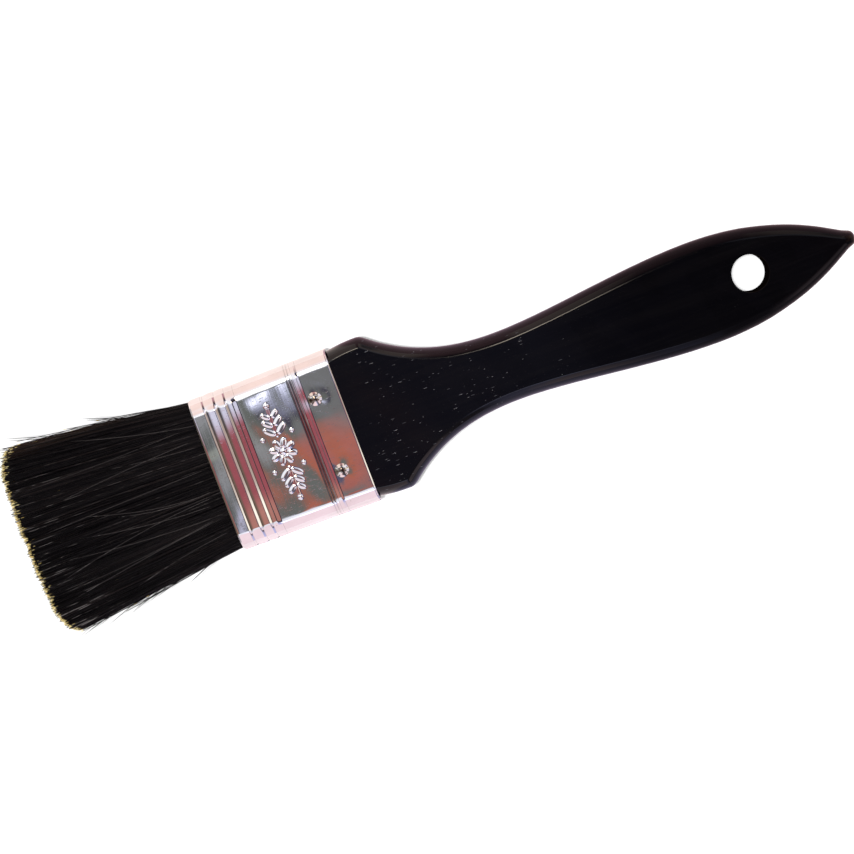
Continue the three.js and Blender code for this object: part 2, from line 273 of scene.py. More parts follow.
def lacquer_material():
    m = Nodes("black_lacquer_on_wood")
    x, y = m.axis("X"), m.axis("Y")
    grain = m.noise(m.coords((0.045, 1.0, 0.7)), 1.6, 4, 0.6, 0.25)
    broad = m.noise(m.coords((0.012, 0.35, 0.3)), 1.0, 2, 0.5, 0.6)
    base = m.mix(m.range(broad, 0.35, 0.7), rgb(0.0013, 0.0012, 0.0019), rgb(0.0024, 0.0021, 0.0027))
    base = m.mix(m.range(grain, 0.5, 0.8, 0.0, 0.5), base, rgb(0.0045, 0.0040, 0.0048))

    # open pores that the lacquer hasn't filled, sunk in the bump; their short pale dashes along the grain are a painted
    # highlight for the glints of light in them, thickest in a band before the shoulder, towards one edge, and thin
    # along the neck
    off_band = m.math("ABSOLUTE", m.math("SUBTRACT", x, OPEN + 6.6))
    band = m.math("MULTIPLY", m.range(off_band, 0.6, 3.2, 1.0, 0.0), m.range(y, 1.0, -5.0, 0.15, 1.0))
    off_low = m.math("ABSOLUTE", m.math("SUBTRACT", x, OPEN + 4.0))
    low = m.math("MULTIPLY", m.range(off_low, 1.5, 4.4, 0.85, 0.0), m.range(y, -7.0, -11.0, 0.0, 1.0))
    neck = m.math("MULTIPLY", m.range(x, OPEN + 3, OPEN + 9, 0.0, 0.30), m.range(x, OPEN + 30, OPEN + 62, 1.0, 0.0))
    density = m.math("MAXIMUM", m.math("MAXIMUM", band, low), neck)

    def dashes(scale, offset, reach, share):
        """Separate short dashes, each an ellipse drawn out along the grain."""
        spot = m.add("ShaderNodeTexVoronoi", feature="F1")
        spot.inputs["Scale"].default_value = 1.0
        m.link(m.coords(scale, offset), spot.inputs["Vector"])
        pick = m.add("ShaderNodeSeparateColor")
        m.link(spot.outputs["Color"], pick.inputs[0])
        shape = m.range(spot.outputs["Distance"], reach * 0.55, reach, 1.0, 0.0)
        chosen = m.math("LESS_THAN", pick.outputs[0], m.math("MULTIPLY", density, share))
        return m.math("MULTIPLY", m.math("MULTIPLY", shape, chosen), m.range(pick.outputs[1], 0.0, 1.0, 0.35, 1.0))

    pores_and_glints = m.math("MAXIMUM", dashes((0.40, 2.3, 0.5), (3.3, 1.7, 5.0), 0.25, 0.44), dashes((0.85, 3.0, 0.5), (13.1, 5.3, 2.0), 0.24, 0.30))
    cell = m.add("ShaderNodeTexVoronoi", feature="F1")
    cell.inputs["Scale"].default_value = 1.0
    m.link(m.coords((0.16, 0.20, 0.2), (9.1, 4.3, 2.2)), cell.inputs["Vector"])
    cell_rgb = m.add("ShaderNodeSeparateColor")
    m.link(cell.outputs["Color"], cell_rgb.inputs[0])
    dust = m.range(cell.outputs["Distance"], 0.010, 0.030, 1.0, 0.0)
    dust = m.math("MULTIPLY", dust, m.math("LESS_THAN", cell_rgb.outputs[0], 0.34))
    # painted highlight: the pore dashes are coloured pale for the glints of light in them
    base = m.mix(m.math("MULTIPLY", pores_and_glints, 0.7), base, rgb(0.11, 0.11, 0.125))
    base = m.mix(m.math("MULTIPLY", dust, 0.6), base, rgb(0.30, 0.30, 0.31))

    # brown here and there along the outermost edge and at the tail's end: lacquer worn thin, and also a painted warm
    # sheen for the brownish light seen along the silhouette and on the nib
    z = m.axis("Z")
    rim = m.range(m.math("ABSOLUTE", m.math("SUBTRACT", z, MID)), 2.9, 1.0, 0.0, 1.0, True)
    wear_noise = m.noise(m.coords((0.22, 0.9, 0.9), (5, 5, 5)), 1.0, 4, 0.7)
    wear_and_sheen = m.math("MULTIPLY", rim, m.range(wear_noise, 0.56, 0.70))
    end = m.range(x, float(han_hi[0]) - 3.2, float(han_hi[0]) - 0.8, 0.0, 0.8)
    wear_and_sheen = m.math("MAXIMUM", m.math("MULTIPLY", wear_and_sheen, 0.5), m.math("MULTIPLY", end, m.range(wear_noise, 0.4, 0.6)))
    base = m.mix(wear_and_sheen, base, rgb(0.055, 0.030, 0.018))
    # the hang hole is drilled after lacquering, so its wall is dull stained wood
    ex, ey = m.math("SUBTRACT", x, HOLE_X), m.math("SUBTRACT", y, HOLE_Y)
    reach = m.math("SQRT", m.math("ADD", m.math("MULTIPLY", ex, ex), m.math("MULTIPLY", ey, ey)))
    bore = m.range(reach, HOLE_R + 0.05, HOLE_R + 0.16, 1.0, 0.0)
    base = m.mix(bore, base, rgb(0.0075, 0.0048, 0.0040))
    m.link(base, m.bsdf.inputs["Base Color"])
    level = m.range(x, 64.0, 90.0, 0.32, 0.13)  # less gloss towards the tail, from handling
    m.link(m.math("MULTIPLY", m.math("SUBTRACT", 1.0, bore), level), m.bsdf.inputs["Specular IOR Level"])

    smudge = m.noise(m.coords((0.05, 0.08, 0.08), (1, 7, 3)), 1.0, 3, 0.55)
    rough = m.range(smudge, 0.3, 0.75, 0.075, 0.105)
    rough = m.math("ADD", rough, m.math("MULTIPLY", pores_and_glints, 0.25))
    rough = m.math("ADD", rough, m.range(grain, 0.45, 0.75, 0.0, 0.02))
    m.link(rough, m.bsdf.inputs["Roughness"])
    m.bsdf.inputs["IOR"].default_value = 1.5

    scratches = m.noise(m.coords((0.05, 3.2, 3.2), (2, 2, 8)), 1.0, 2, 0.5)
    height = m.math("ADD", m.math("MULTIPLY", grain, 0.35), m.math("MULTIPLY", scratches, 0.2))
    height = m.math("SUBTRACT", height, m.math("MULTIPLY", pores_and_glints, 0.7))
    height = m.math("ADD", height, m.math("MULTIPLY", smudge, 0.8))
    m.link(m.bump(height, 0.03, 0.45), m.bsdf.inputs["Normal"])
    return m.mat


def tinplate_material(name="bright_tinplate", tint=(0.80, 0.79, 0.80), rough=(0.14, 0.24), creases=(), shaded_head=False):
    m = Nodes(name)
    cloud = m.noise(m.coords((0.09, 0.14, 0.14), (4, 1, 2)), 1.0, 4, 0.6)
    brushed = m.noise(m.coords((3.0, 0.06, 0.06), (0, 3, 0)), 1.0, 2, 0.6)
    base = m.mix(
        m.range(cloud, 0.35, 0.7),
        rgb(*tint),
        rgb(tint[0] * 0.86, tint[1] * 0.85, tint[2] * 0.84),
    )
    # small tarnish freckles
    freckle = m.voronoi(m.coords((0.55, 0.55, 0.55), (6, 6, 1)), 1.0)
    spots = m.math("MULTIPLY", m.range(freckle, 0.04, 0.1, 1.0, 0.0), m.range(cloud, 0.5, 0.62))
    base = m.mix(m.math("MULTIPLY", spots, 0.5), base, rgb(0.33, 0.29, 0.25))
    if creases:
        # painted shade: dark lines in the creases beside the beads
        x = m.axis("X")
        crease_shade = None
        for at, reach in creases:
            line = m.range(m.math("ABSOLUTE", m.math("SUBTRACT", x, at)), reach * 0.35, reach, 1.0, 0.0)
            crease_shade = line if crease_shade is None else m.math("MAXIMUM", crease_shade, line)
        patch = m.noise(m.coords((0.3, 0.35, 0.5), (7, 2, 9)), 1.0, 3, 0.6)
        crease_shade = m.math("MULTIPLY", crease_shade, m.range(m.math("ABSOLUTE", m.axis("Y")), 14.5, 15.6, 1.0, 0.22))
        # painted reflection: a duller grey-olive band round the two grooves, standing in for the grey reflection there,
        # fading out at the corners
        groove_band_shade = m.range(m.math("ABSOLUTE", m.math("SUBTRACT", x, 7.12)), 0.55, 0.85, 0.62, 0.0)
        groove_band_shade = m.math("MULTIPLY", groove_band_shade, m.range(m.math("ABSOLUTE", m.axis("Y")), 14.6, 16.0, 1.0, 0.15))
        base = m.mix(groove_band_shade, base, rgb(0.33, 0.34, 0.30))
        # the painted crease shade goes on last, patchy
        base = m.mix(m.math("MULTIPLY", crease_shade, m.range(patch, 0.3, 0.6, 0.45, 0.9)), base, rgb(0.055, 0.048, 0.040))
    if shaded_head:
        # painted reflection and shade: dark brown on the crown of the head for the dark room it reflects, and a dark
        # ring in the corner under its rim where shade falls
        radial = m.attribute("radial")
        blotch = m.noise(m.coords((0.9, 0.9, 0.9), (1, 4, 2)), 1.0, 2, 0.6)
        reach = m.math("ADD", radial, m.range(blotch, 0.3, 0.7, -0.38, 0.38))
        base = m.mix(m.range(reach, 0.44, 0.60, 0.92, 0.0), base, rgb(0.085, 0.060, 0.045))
        base = m.mix(m.range(radial, 0.90, 0.965, 0.0, 0.95), base, rgb(0.030, 0.022, 0.018))
    m.link(base, m.bsdf.inputs["Base Color"])
    m.bsdf.inputs["Metallic"].default_value = 1.0
    r = m.range(cloud, 0.3, 0.75, rough[0], rough[1])
    r = m.math("ADD", r, m.math("MULTIPLY", m.range(brushed, 0.45, 0.8), 0.012))
    m.link(r, m.bsdf.inputs["Roughness"])
    scratch = m.range(m.noise(m.coords((0.8, 5.0, 5.0), (8, 0, 5)), 1.0, 1, 0.5), 0.66, 0.72)
    height = m.math("ADD", m.math("MULTIPLY", brushed, 0.25), m.math("MULTIPLY", scratch, -0.3))
    height = m.math("ADD", height, m.math("MULTIPLY", cloud, 1.2))
    m.link(m.bump(height, 0.005, 0.4), m.bsdf.inputs["Normal"])
    return m.mat


def bristle_material():
    m = Nodes("black_bristle_pale_tips")
    along = m.attribute("along")  # millimetres back from the tip
    tone = m.attribute("tone")  # one number for each filament
    second = m.math("FRACT", m.math("MULTIPLY", tone, 37.0))
    third = m.math("FRACT", m.math("MULTIPLY", tone, 211.0))
    base = m.mix(m.range(tone, 0.0, 0.8), rgb(0.0006, 0.0005, 0.0008), rgb(0.0040, 0.0034, 0.0040))
    brown = m.range(tone, 0.88, 0.91)
    base = m.mix(m.math("MULTIPLY", brown, 0.7), base, rgb(0.015, 0.0105, 0.0100))
    # reddish brown along the frayed +Y edge
    edge = m.math("MULTIPLY", m.range(m.axis("Y"), 19.5, 23.5), m.range(second, 0.35, 0.6))
    base = m.mix(m.math("MULTIPLY", edge, 0.5), base, rgb(0.050, 0.028, 0.020))
    banding = m.noise(m.coords((0.22, 1.4, 1.4)), 1.0, 2, 0.5)
    base = m.mix(m.range(banding, 0.5, 0.8, 0.0, 0.3), base, rgb(0.010, 0.0088, 0.0092))
    # painted highlights: lengths of filament painted pale grey, with more specular, for the streaks of light that
    # filaments catch, most of them towards the tips
    streak_noise = m.noise(m.coords((0.26, 0.9, 0.9), (2, 9, 4)), 1.0, 2, 0.55)
    near_tip = m.math("MULTIPLY", m.range(along, 3.0, 18.0, 1.0, 0.0), m.range(m.axis("Y"), 4.0, -4.0, 0.30, 1.0))
    picked = m.math("ADD", tone, m.math("MULTIPLY", near_tip, 0.065))
    highlight_streaks = m.math("MULTIPLY", m.range(streak_noise, 0.50, 0.57), m.range(picked, 0.945, 0.965))
    highlight_streaks = m.math("MULTIPLY", highlight_streaks, m.math("ADD", 0.13, m.math("MULTIPLY", near_tip, 0.77)))
    highlight_streaks = m.math("MAXIMUM", highlight_streaks, m.range(tone, 0.9992, 0.9998, 0.0, 0.20))
    base = m.mix(m.math("MULTIPLY", highlight_streaks, 0.9), base, rgb(0.26, 0.24, 0.235))
    gold = m.mix(third, rgb(0.66, 0.44, 0.10), rgb(1.0, 0.86, 0.42))
    length = m.math("ADD", m.range(second, 0.17, 0.20, -0.6, 0.34, True), m.range(second, 0.20, 1.0, 0.0, 0.62, True))
    gold = m.mix(m.range(along, 0.1, 0.6, 0.55, 0.0), gold, rgb(1.0, 0.93, 0.62))
    flag = m.range(m.math("SUBTRACT", along, length), -0.16, 0.16, 1.0, 0.0, True)
    base = m.mix(flag, base, gold)
    m.link(base, m.bsdf.inputs["Base Color"])
    m.link(m.range(banding, 0.3, 0.8, 0.30, 0.45), m.bsdf.inputs["Roughness"])
    m.bsdf.inputs["IOR"].default_value = 1.5
    level = m.math("ADD", m.range(tone, 0.0, 0.8, 0.03, 0.11), m.math("MULTIPLY", highlight_streaks, 0.9))
    m.link(level, m.bsdf.inputs["Specular IOR Level"])
    m.link(m.bump(banding, 0.02, 0.3), m.bsdf.inputs["Normal"])
    return m.mat


def wood_material():
    m = Nodes("bare_softwood")
    rings = m.add("ShaderNodeTexWave", wave_type="BANDS", bands_direction="Y")
    rings.inputs["Scale"].default_value = 0.32
    rings.inputs["Distortion"].default_value = 3.0
    rings.inputs["Detail"].default_value = 3.0
    m.link(m.coords((0.15, 1.0, 1.0)), rings.inputs["Vector"])
    fibre = m.noise(m.coords((0.2, 6, 6)), 1.0, 3, 0.6)
    base = m.mix(rings.outputs["Fac"], rgb(0.52, 0.31, 0.12), rgb(0.66, 0.44, 0.20))
    base = m.mix(m.range(fibre, 0.5, 0.8, 0, 0.5), base, rgb(0.36, 0.19, 0.07))
    m.link(base, m.bsdf.inputs["Base Color"])
    m.link(m.range(fibre, 0.3, 0.8, 0.6, 0.85), m.bsdf.inputs["Roughness"])
    m.link(m.bump(fibre, 0.05, 0.6), m.bsdf.inputs["Normal"])
    return m.mat


def resin_material():
    m = Nodes("amber_setting_resin")
    cloud = m.noise(m.coords((0.3, 0.3, 0.3)), 1.0, 4, 0.6)
    bubbles = m.range(m.voronoi(m.coords((1.2, 1.2, 1.2)), 1.0), 0.05, 0.2, 1.0, 0.0)
    base = m.mix(cloud, rgb(0.30, 0.10, 0.008), rgb(0.50, 0.21, 0.03))
    base = m.mix(m.math("MULTIPLY", bubbles, 0.4), base, rgb(0.62, 0.36, 0.1))
    m.link(base, m.bsdf.inputs["Base Color"])
    m.link(m.range(cloud, 0.3, 0.7, 0.18, 0.4), m.bsdf.inputs["Roughness"])
    m.link(m.bump(bubbles, 0.05, 0.5), m.bsdf.inputs["Normal"])
    return m.mat


LACQUER = lacquer_material()
CREASES = [(-14.47, 0.10), (-13.95, 0.15), (-11.09, 0.13), (-8.51, 0.12), (-6.27, 0.12), (6.80, 0.15), (7.45, 0.16), (8.18, 0.10), (9.62, 0.12)]
TINPLATE = tinplate_material(rough=(0.020, 0.042), creases=CREASES)
NAIL_METAL = tinplate_material("bright_nail", (0.80, 0.77, 0.74), (0.06, 0.12), shaded_head=True)
BRISTLE = bristle_material()

# ------------------------------------------------------------------ handle

# [distance from the ferrule's open end, half width]
OUTLINE = [
    (-1.0, 18.5), (0.0, 18.58), (2.0, 18.84), (4.2, 19.08), (6.4, 19.19), (7.6, 19.21), (8.3, 19.16), (8.9, 18.96),
    (9.6, 18.55), (10.6, 17.76), (12.2, 16.52), (14.0, 15.3), (16.1, 14.04), (18.4, 12.84), (21.0, 11.72), (24.0, 10.67),
    (27.5, 9.75), (31.5, 9.06), (36.0, 8.66), (38.6, 8.58), (41.2, 8.59), (46.0, 8.81), (52.0, 9.3), (58.0, 9.93),
    (64.0, 10.62), (70.0, 11.27), (76.0, 11.86), (82.0, 12.29), (87.0, 12.48), (90.0, 12.51), (93.0, 12.43),
    (98.0, 12.05), (102.5, 11.4), (106.5, 10.5), (110.5, 9.38), (114.5, 7.98), (118.0, 6.45), (121.0, 4.93),
    (123.6, 3.45), (125.4, 2.42),
]
TAIL = float(han_hi[0]) - OPEN - 0.2
EDGE_ARC = math.radians(72.5)


def half_width(t):
    t = np.asarray(t, float)
    xs, ys = zip(*OUTLINE)
    w = pchip(xs, ys, np.clip(t, xs[0], xs[-1]))
    t0, w0 = OUTLINE[-1]
    u = np.clip((t - t0) / (TAIL - t0), 0, 1)
    nib = (w0 - 0.50 * (TAIL - t0) * u * (1 - 0.32 * u)) * np.power(np.maximum(1 - np.power(u, 6), 0), 0.42)
    return np.where(t > t0, nib, w)


def face_sag(x, y):
    return 0.02 * np.sin(x * 0.11 + 0.6) * np.cos(y * 0.21 + 0.4) + 0.012 * np.sin(x * 0.31 + y * 0.17)


def build_handle():
    lead = np.array([18.2 - OPEN, 18.45 - OPEN, 18.45 - OPEN + 0.6])
    start = float(han_lo[0]) - OPEN
    tang = np.linspace(start, 0.0, 26)[:-1]
    t0 = OUTLINE[-1][0]
    body = np.concatenate([np.arange(0.0, 14.0, 0.16), np.arange(14.0, t0, 0.28)])
    nib = t0 + (TAIL - t0) * np.sin(np.linspace(0, math.pi / 2, 26))
    ts = np.concatenate([tang, body, nib])
    w = np.where(ts < 0, 18.45, half_width(ts))

    # the outline as a dense line, for true distances near the shoulders and the nib
    dense = np.concatenate([np.linspace(start - 6, t0, 2600), t0 + (TAIL - t0) * np.sin(np.linspace(0, math.pi / 2, 160))])
    dw = np.where(dense < 0, 18.45, half_width(dense))
    slope = np.gradient(w, np.maximum(np.gradient(ts), 1e-6) * 0 + ts)
    slope = np.clip(np.nan_to_num(slope), -1.2, 1.2)
    kernel = np.ones(9) / 9
    slope = np.convolve(np.pad(slope, 4, mode="edge"), kernel, mode="valid")
    secant = np.sqrt(1 + slope**2)

    depth_plan = np.interp(ts, [0, 10, 20, 45, 80, 105, 118, 125], [2.35, 2.3, 2.4, 2.5, 2.7, 2.6, 2.3, 1.9])
    depth = np.minimum(depth_plan, 0.72 * np.maximum(w, 2.0))

    arcs = 1 - np.cos(np.linspace(0, EDGE_ARC, 13))
    arcs = arcs / arcs[-1]
    offsets = np.concatenate([arcs[:-2], [0.90, 0.94, 0.97, 1.0, 1.035, 1.07, 1.105, 1.16]])
    inner = np.array([0.18, 0.42, 0.7, 1.0])
    columns = []
    for k, (x, ww, dd, sc) in enumerate(zip(ts, w, depth, secant)):
        edge = np.minimum(offsets * dd * sc, ww * np.linspace(0, 1, len(offsets)) ** 0.9 * 0.92)
        rest = edge[-1] + (ww - edge[-1]) * inner
        columns.append(ww - np.concatenate([edge, rest]))
    half = np.array(columns)  # from the outer edge to the centre line
    y = np.concatenate([half, -half[:, -2::-1]], 1)
    x = np.repeat(ts[:, None], y.shape[1], 1)

    # true distance to the outline
    pts = np.stack([x.ravel(), np.abs(y).ravel()], 1)
    line = np.stack([dense, dw], 1)
    dist = np.empty(len(pts))
    for i in range(0, len(pts), 4000):
        p = pts[i : i + 4000]
        d2 = (p[:, None, 0] - line[None, :, 0]) ** 2 + (p[:, None, 1] - line[None, :, 1]) ** 2
        dist[i : i + 4000] = np.sqrt(d2.min(1))
    dist = dist.reshape(x.shape)
    edge_rows = np.zeros(x.shape, bool)
    edge_rows[:, 0] = edge_rows[:, -1] = True
    dist[edge_rows] = 0
    dd = np.repeat(depth[:, None], y.shape[1], 1)
    r = dd / (1 - math.cos(EDGE_ARC))
    a = np.arccos(np.clip(1 - np.clip(dist, 0, dd) / r, -1, 1))
    top = np.sin(a) / math.sin(EDGE_ARC)
    # a narrow easing of the ridge where the round meets the flat
    f = 0.10
    u = np.clip((dist / dd - (1 - f)) / (2 * f), 0, 1)
    h0 = math.sin(math.acos(1 - (1 - f) * (1 - math.cos(EDGE_ARC)))) / math.sin(EDGE_ARC)
    s0 = (1 - h0) / f
    ease = h0 + s0 * 2 * f * (u - u * u / 2) - (s0 * f - (1 - h0)) * u * u
    ease = np.minimum(ease, 1.0)
    top = np.where(dist > dd * (1 - f), np.where(u >= 1, 1.0, ease), top)
    z = HANDLE_T * top
    z[:, 0] = z[:, -1] = 0.0

    # barely visible unevenness of a hand-sanded face
    sag = (0.032 + face_sag(x, y)) * smoothstep(0.2, 2.4, dist) * smoothstep(0.5, 6, x)
    rows, cols = x.shape
    upper = np.stack([x + OPEN, y, MID + z - sag], -1).reshape(-1, 3)
    lower = np.stack([x + OPEN, y, MID - z + sag], -1).reshape(-1, 3)
    faces = strip_faces(rows, cols, closed=False)
    faces += strip_faces(rows, cols, closed=False, base=rows * cols, flip=True)
    # tang's end
    n = rows * cols
    for c in range(cols - 1):
        faces.append([c, n + c, n + c + 1, c + 1])
    ob = make_object("lacquered_handle", make_mesh("lacquered_handle", np.concatenate([upper, lower]), faces), LACQUER)
    weld(ob, 2e-3)

    # the hang hole, with its rims eased, and the nails' pilot holes
    ease = 0.26
    prof = [(HOLE_R + ease + 0.5, -7.0), (HOLE_R + ease + 0.12, -HANDLE_T - 0.1)]
    for q in np.linspace(math.pi / 8, math.pi / 2, 4):
        prof.append((HOLE_R + ease * (1 - math.sin(q)), -HANDLE_T + ease * (1 - math.cos(q))))
    prof += [(p[0], -p[1]) for p in reversed(prof)]
    cutters = [lathe("hole_cutter", prof, HOLE_X, HOLE_Y, MID, 72)]
    for nail, nx, ny, side in NAILS:
        if side > 0:
            cutters.append(lathe("pilot", [(0.8, 0.6), (0.8, 8)], nx, ny, MID, 16, caps=True))
            cutters.append(lathe("pilot", [(0.8, -8), (0.8, -0.6)], nx, ny, MID, 16, caps=True))
    for cutter in cutters:
        mod = ob.modifiers.new("cut", "BOOLEAN")
        mod.operation = "DIFFERENCE"
        mod.solver = "EXACT"
        mod.object = cutter
    bpy.context.view_layer.update()
    done = bpy.data.meshes.new_from_object(ob.evaluated_get(bpy.context.evaluated_depsgraph_get()))
    ob.modifiers.clear()
    old = ob.data
    ob.data = done
    bpy.data.meshes.remove(old)
    for cutter in cutters:
        bpy.data.objects.remove(cutter, do_unlink=True)
    done.polygons.foreach_set("use_smooth", np.ones(len(done.polygons), bool))
    done.set_sharp_from_angle(angle=math.radians(38))
    # the flat faces keep their own plane's shading right up to the hole and the ridge
    count = len(done.loops)
    normals = np.zeros(count * 3, np.float32)
    done.corner_normals.foreach_get("vector", normals)
    normals = normals.reshape(-1, 3)
    vi = np.zeros(count, np.int64)
    done.loops.foreach_get("vertex_index", vi)
    co = np.zeros(len(done.vertices) * 3)
    done.vertices.foreach_get("co", co)
    co = co.reshape(-1, 3) / MM
    pn = np.zeros(len(done.polygons) * 3)
    done.polygons.foreach_get("normal", pn)
    pn = pn.reshape(-1, 3)
    totals = np.zeros(len(done.polygons), np.int64)
    done.polygons.foreach_get("loop_total", totals)
    face_of = np.repeat(np.arange(len(totals)), totals)
    flat = (np.abs(pn[face_of, 2]) > 0.9985) & (np.abs(np.abs(co[vi, 2] - MID) - HANDLE_T) < 0.12)
    fx, fy = co[vi, 0] - OPEN, co[vi, 1]
    d = 0.05
    gx = (face_sag(fx + d, fy) - face_sag(fx - d, fy)) / (2 * d) + 0.014 * np.exp(-np.clip(fx, 0, None) / 12)
    gy = (face_sag(fx, fy + d) - face_sag(fx, fy - d)) / (2 * d)
    sign = np.sign(pn[face_of, 2])
    target = np.stack([gx, gy, np.ones(count)], 1)
    target[:, 2] *= sign
    target /= np.linalg.norm(target, axis=1, keepdims=True)
    normals[flat] = target[flat]
    done.normals_split_custom_set(normals.tolist())
    return ob


def lathe(name, profile, cx, cy, cz, segments, caps=True):
    """A closed turned solid about the Z direction; profile is (radius, z) from low z to high z."""
    verts, faces = [], []
    for r, z in profile:
        for i in range(segments):
            a = 2 * math.pi * i / segments
            verts.append((cx + r * math.cos(a), cy + r * math.sin(a), cz + z))
    faces = strip_faces(len(profile), segments)
    faces.append(list(range(segments))[::-1])
    faces.append([len(verts) - segments + i for i in range(segments)])
    return make_object(name, make_mesh(name, verts, faces))


# ------------------------------------------------------------------ ferrule

HALF_W = (18.95, 19.35)  # at the mouth, at the open end
HALF_T = 5.2
CORNER = 4.0
# The rolled profile along the sleeve. Each bead: where its -X foot is, the distance from there and the slope there,
# and how much higher its far foot is. The first two drop steeply at the far side; the others drop gently.
STEEP_BEAD = [(0, 0.50), (0.22, 0.42), (0.45, 0.28), (0.80, 0.19), (1.30, 0.12)]
BEADS = [
    (-13.94, STEEP_BEAD + [(1.98, 0.05), (2.12, 0.0), (2.32, -0.36), (2.38, -0.76), (2.80, -0.80), (2.84, -0.40)], 0.0),
    (-11.08, STEEP_BEAD + [(1.76, 0.05), (1.88, 0.0), (2.06, -0.36), (2.12, -0.76), (2.52, -0.80), (2.56, -0.40)], 0.0),
    (-8.50, [(0, 0.42), (0.12, 0.34), (0.25, 0.20), (0.45, 0.11), (1.00, 0.06), (1.06, 0.0), (1.10, -0.16), (2.15, -0.18), (2.25, -0.10)], 0.0),
    (8.20, [(0, 0.20), (0.1, 0.15), (0.76, 0.06), (0.82, 0.0), (0.86, -0.16), (1.36, -0.18), (1.42, -0.10)], -0.020),
]
LIP = ([-14.42, -14.36, -14.02, -13.97], [0.300, 0.278, 0.014, 0.0])  # the mouth stands proud of the panel by this much
RAMP = ([6.45, 8.20], [0.0, 0.020])
GROOVES = [6.80, 7.45]


def rise_along(slopes, net):
    """Height above the -X foot, every hundredth of a millimetre or so along a bead."""
    at, slope = np.array(slopes, float).T
    grid = np.linspace(at[0], at[-1], 301)
    values = np.interp(grid, at, slope)
    rise = np.concatenate([[0], np.cumsum((values[1:] + values[:-1]) / 2 * np.diff(grid))])
    return grid, rise + (net - rise[-1]) * grid / grid[-1]


def rolled_height(x):
    """Height of the rolled profile above the sleeve's panels at x."""
    h = np.interp(x, *LIP) + np.interp(x, *RAMP)
    for foot, slopes, net in BEADS:
        grid, rise = rise_along(slopes, net)
        h = h + np.interp(x - foot, grid, rise, left=0.0, right=rise[-1])
    for at in GROOVES:
        h = h - 0.035 * np.clip(1 - np.abs(x - at) / 0.11, 0, 1)
    return h


def ornament_height(x, y):
    """A plain pressed ornament: a small eight-petal rosette with leaf sprays and dots either side of it."""
    h = np.zeros_like(x)

    def add(mask):
        np.maximum(h, mask, out=h)

    def petal(cx, cy, ang, length, width):
        dx, dy = x - cx, y - cy
        u = dx * math.cos(ang) + dy * math.sin(ang)
        v = -dx * math.sin(ang) + dy * math.cos(ang)
        s = u / length
        body = width * np.sqrt(np.clip(4 * s * (1 - s), 0, 1))
        q = 1 - np.abs(v) / np.maximum(body, 1e-6)
        add(np.where((s > 0) & (s < 1), smoothstep(0.0, 0.55, q) * smoothstep(0, 0.12, s) * smoothstep(1, 0.88, s), 0.0))

    def dot(cx, cy, r):
        d = np.sqrt((x - cx) ** 2 + (y - cy) ** 2) / r
        add(np.clip(1 - d**2, 0, 1) ** 0.7)

    def line(ax, ay, bx, by, w):
        dx, dy = bx - ax, by - ay
        t = np.clip(((x - ax) * dx + (y - ay) * dy) / (dx * dx + dy * dy), 0, 1)
        d = np.hypot(x - ax - t * dx, y - ay - t * dy)
        add(0.75 * smoothstep(w, w * 0.35, d))

    dot(0, 0, 0.72)
    for k in range(8):
        a = math.pi / 8 + k * math.pi / 4
        petal(1.0 * math.cos(a), 1.0 * math.sin(a), a, 2.3, 0.70)
    for side in (1, -1):
        line(0, side * 4.0, 0, side * 10.9, 0.27)
        for k, yy in enumerate((4.4, 6.5, 8.5)):
            size = 3.1 - 0.45 * k
            for lean in (1, -1):
                petal(lean * 0.3, side * yy, math.pi / 2 * side - lean * side * math.radians(50), size, 0.66 - 0.05 * k)
        dot(0, side * 11.6, 0.58)
        dot(3.7, side * 4.1, 0.42)
        dot(-3.7, side * 4.1, 0.42)
    return h


def ferrule_perimeter():
    """Samples round the sleeve as (segment, parameter): lists that give y, z and the outward normal for a half width."""
    r = CORNER
    samples = []
    # front flat from +Y to -Y
    for s in np.linspace(1, -1, 171)[:-1]:
        samples.append(("front", s))
    for s in np.linspace(0, 1, 19)[:-1]:
        samples.append(("c1", s))
    for z in (1.2, 1.0, 0.8, 0.62, 0.5, 0.42, 0.36, 0.31, 0.26, 0.2, 0.1, -0.1, -0.4, -0.8, -1.2):
        samples.append(("left", z))
    for s in np.linspace(0, 1, 19)[1:]:
        samples.append(("c2", s))
    for s in np.linspace(-1, 1, 91)[1:]:
        samples.append(("rear", s))
    for s in np.linspace(0, 1, 19)[1:]:
        samples.append(("c3", s))
    for z in (-0.8, -0.4, 0.0, 0.4, 0.8):
        samples.append(("right", z))
    for s in np.linspace(0, 1, 19)[:-1]:
        samples.append(("c4", s))
    return samples


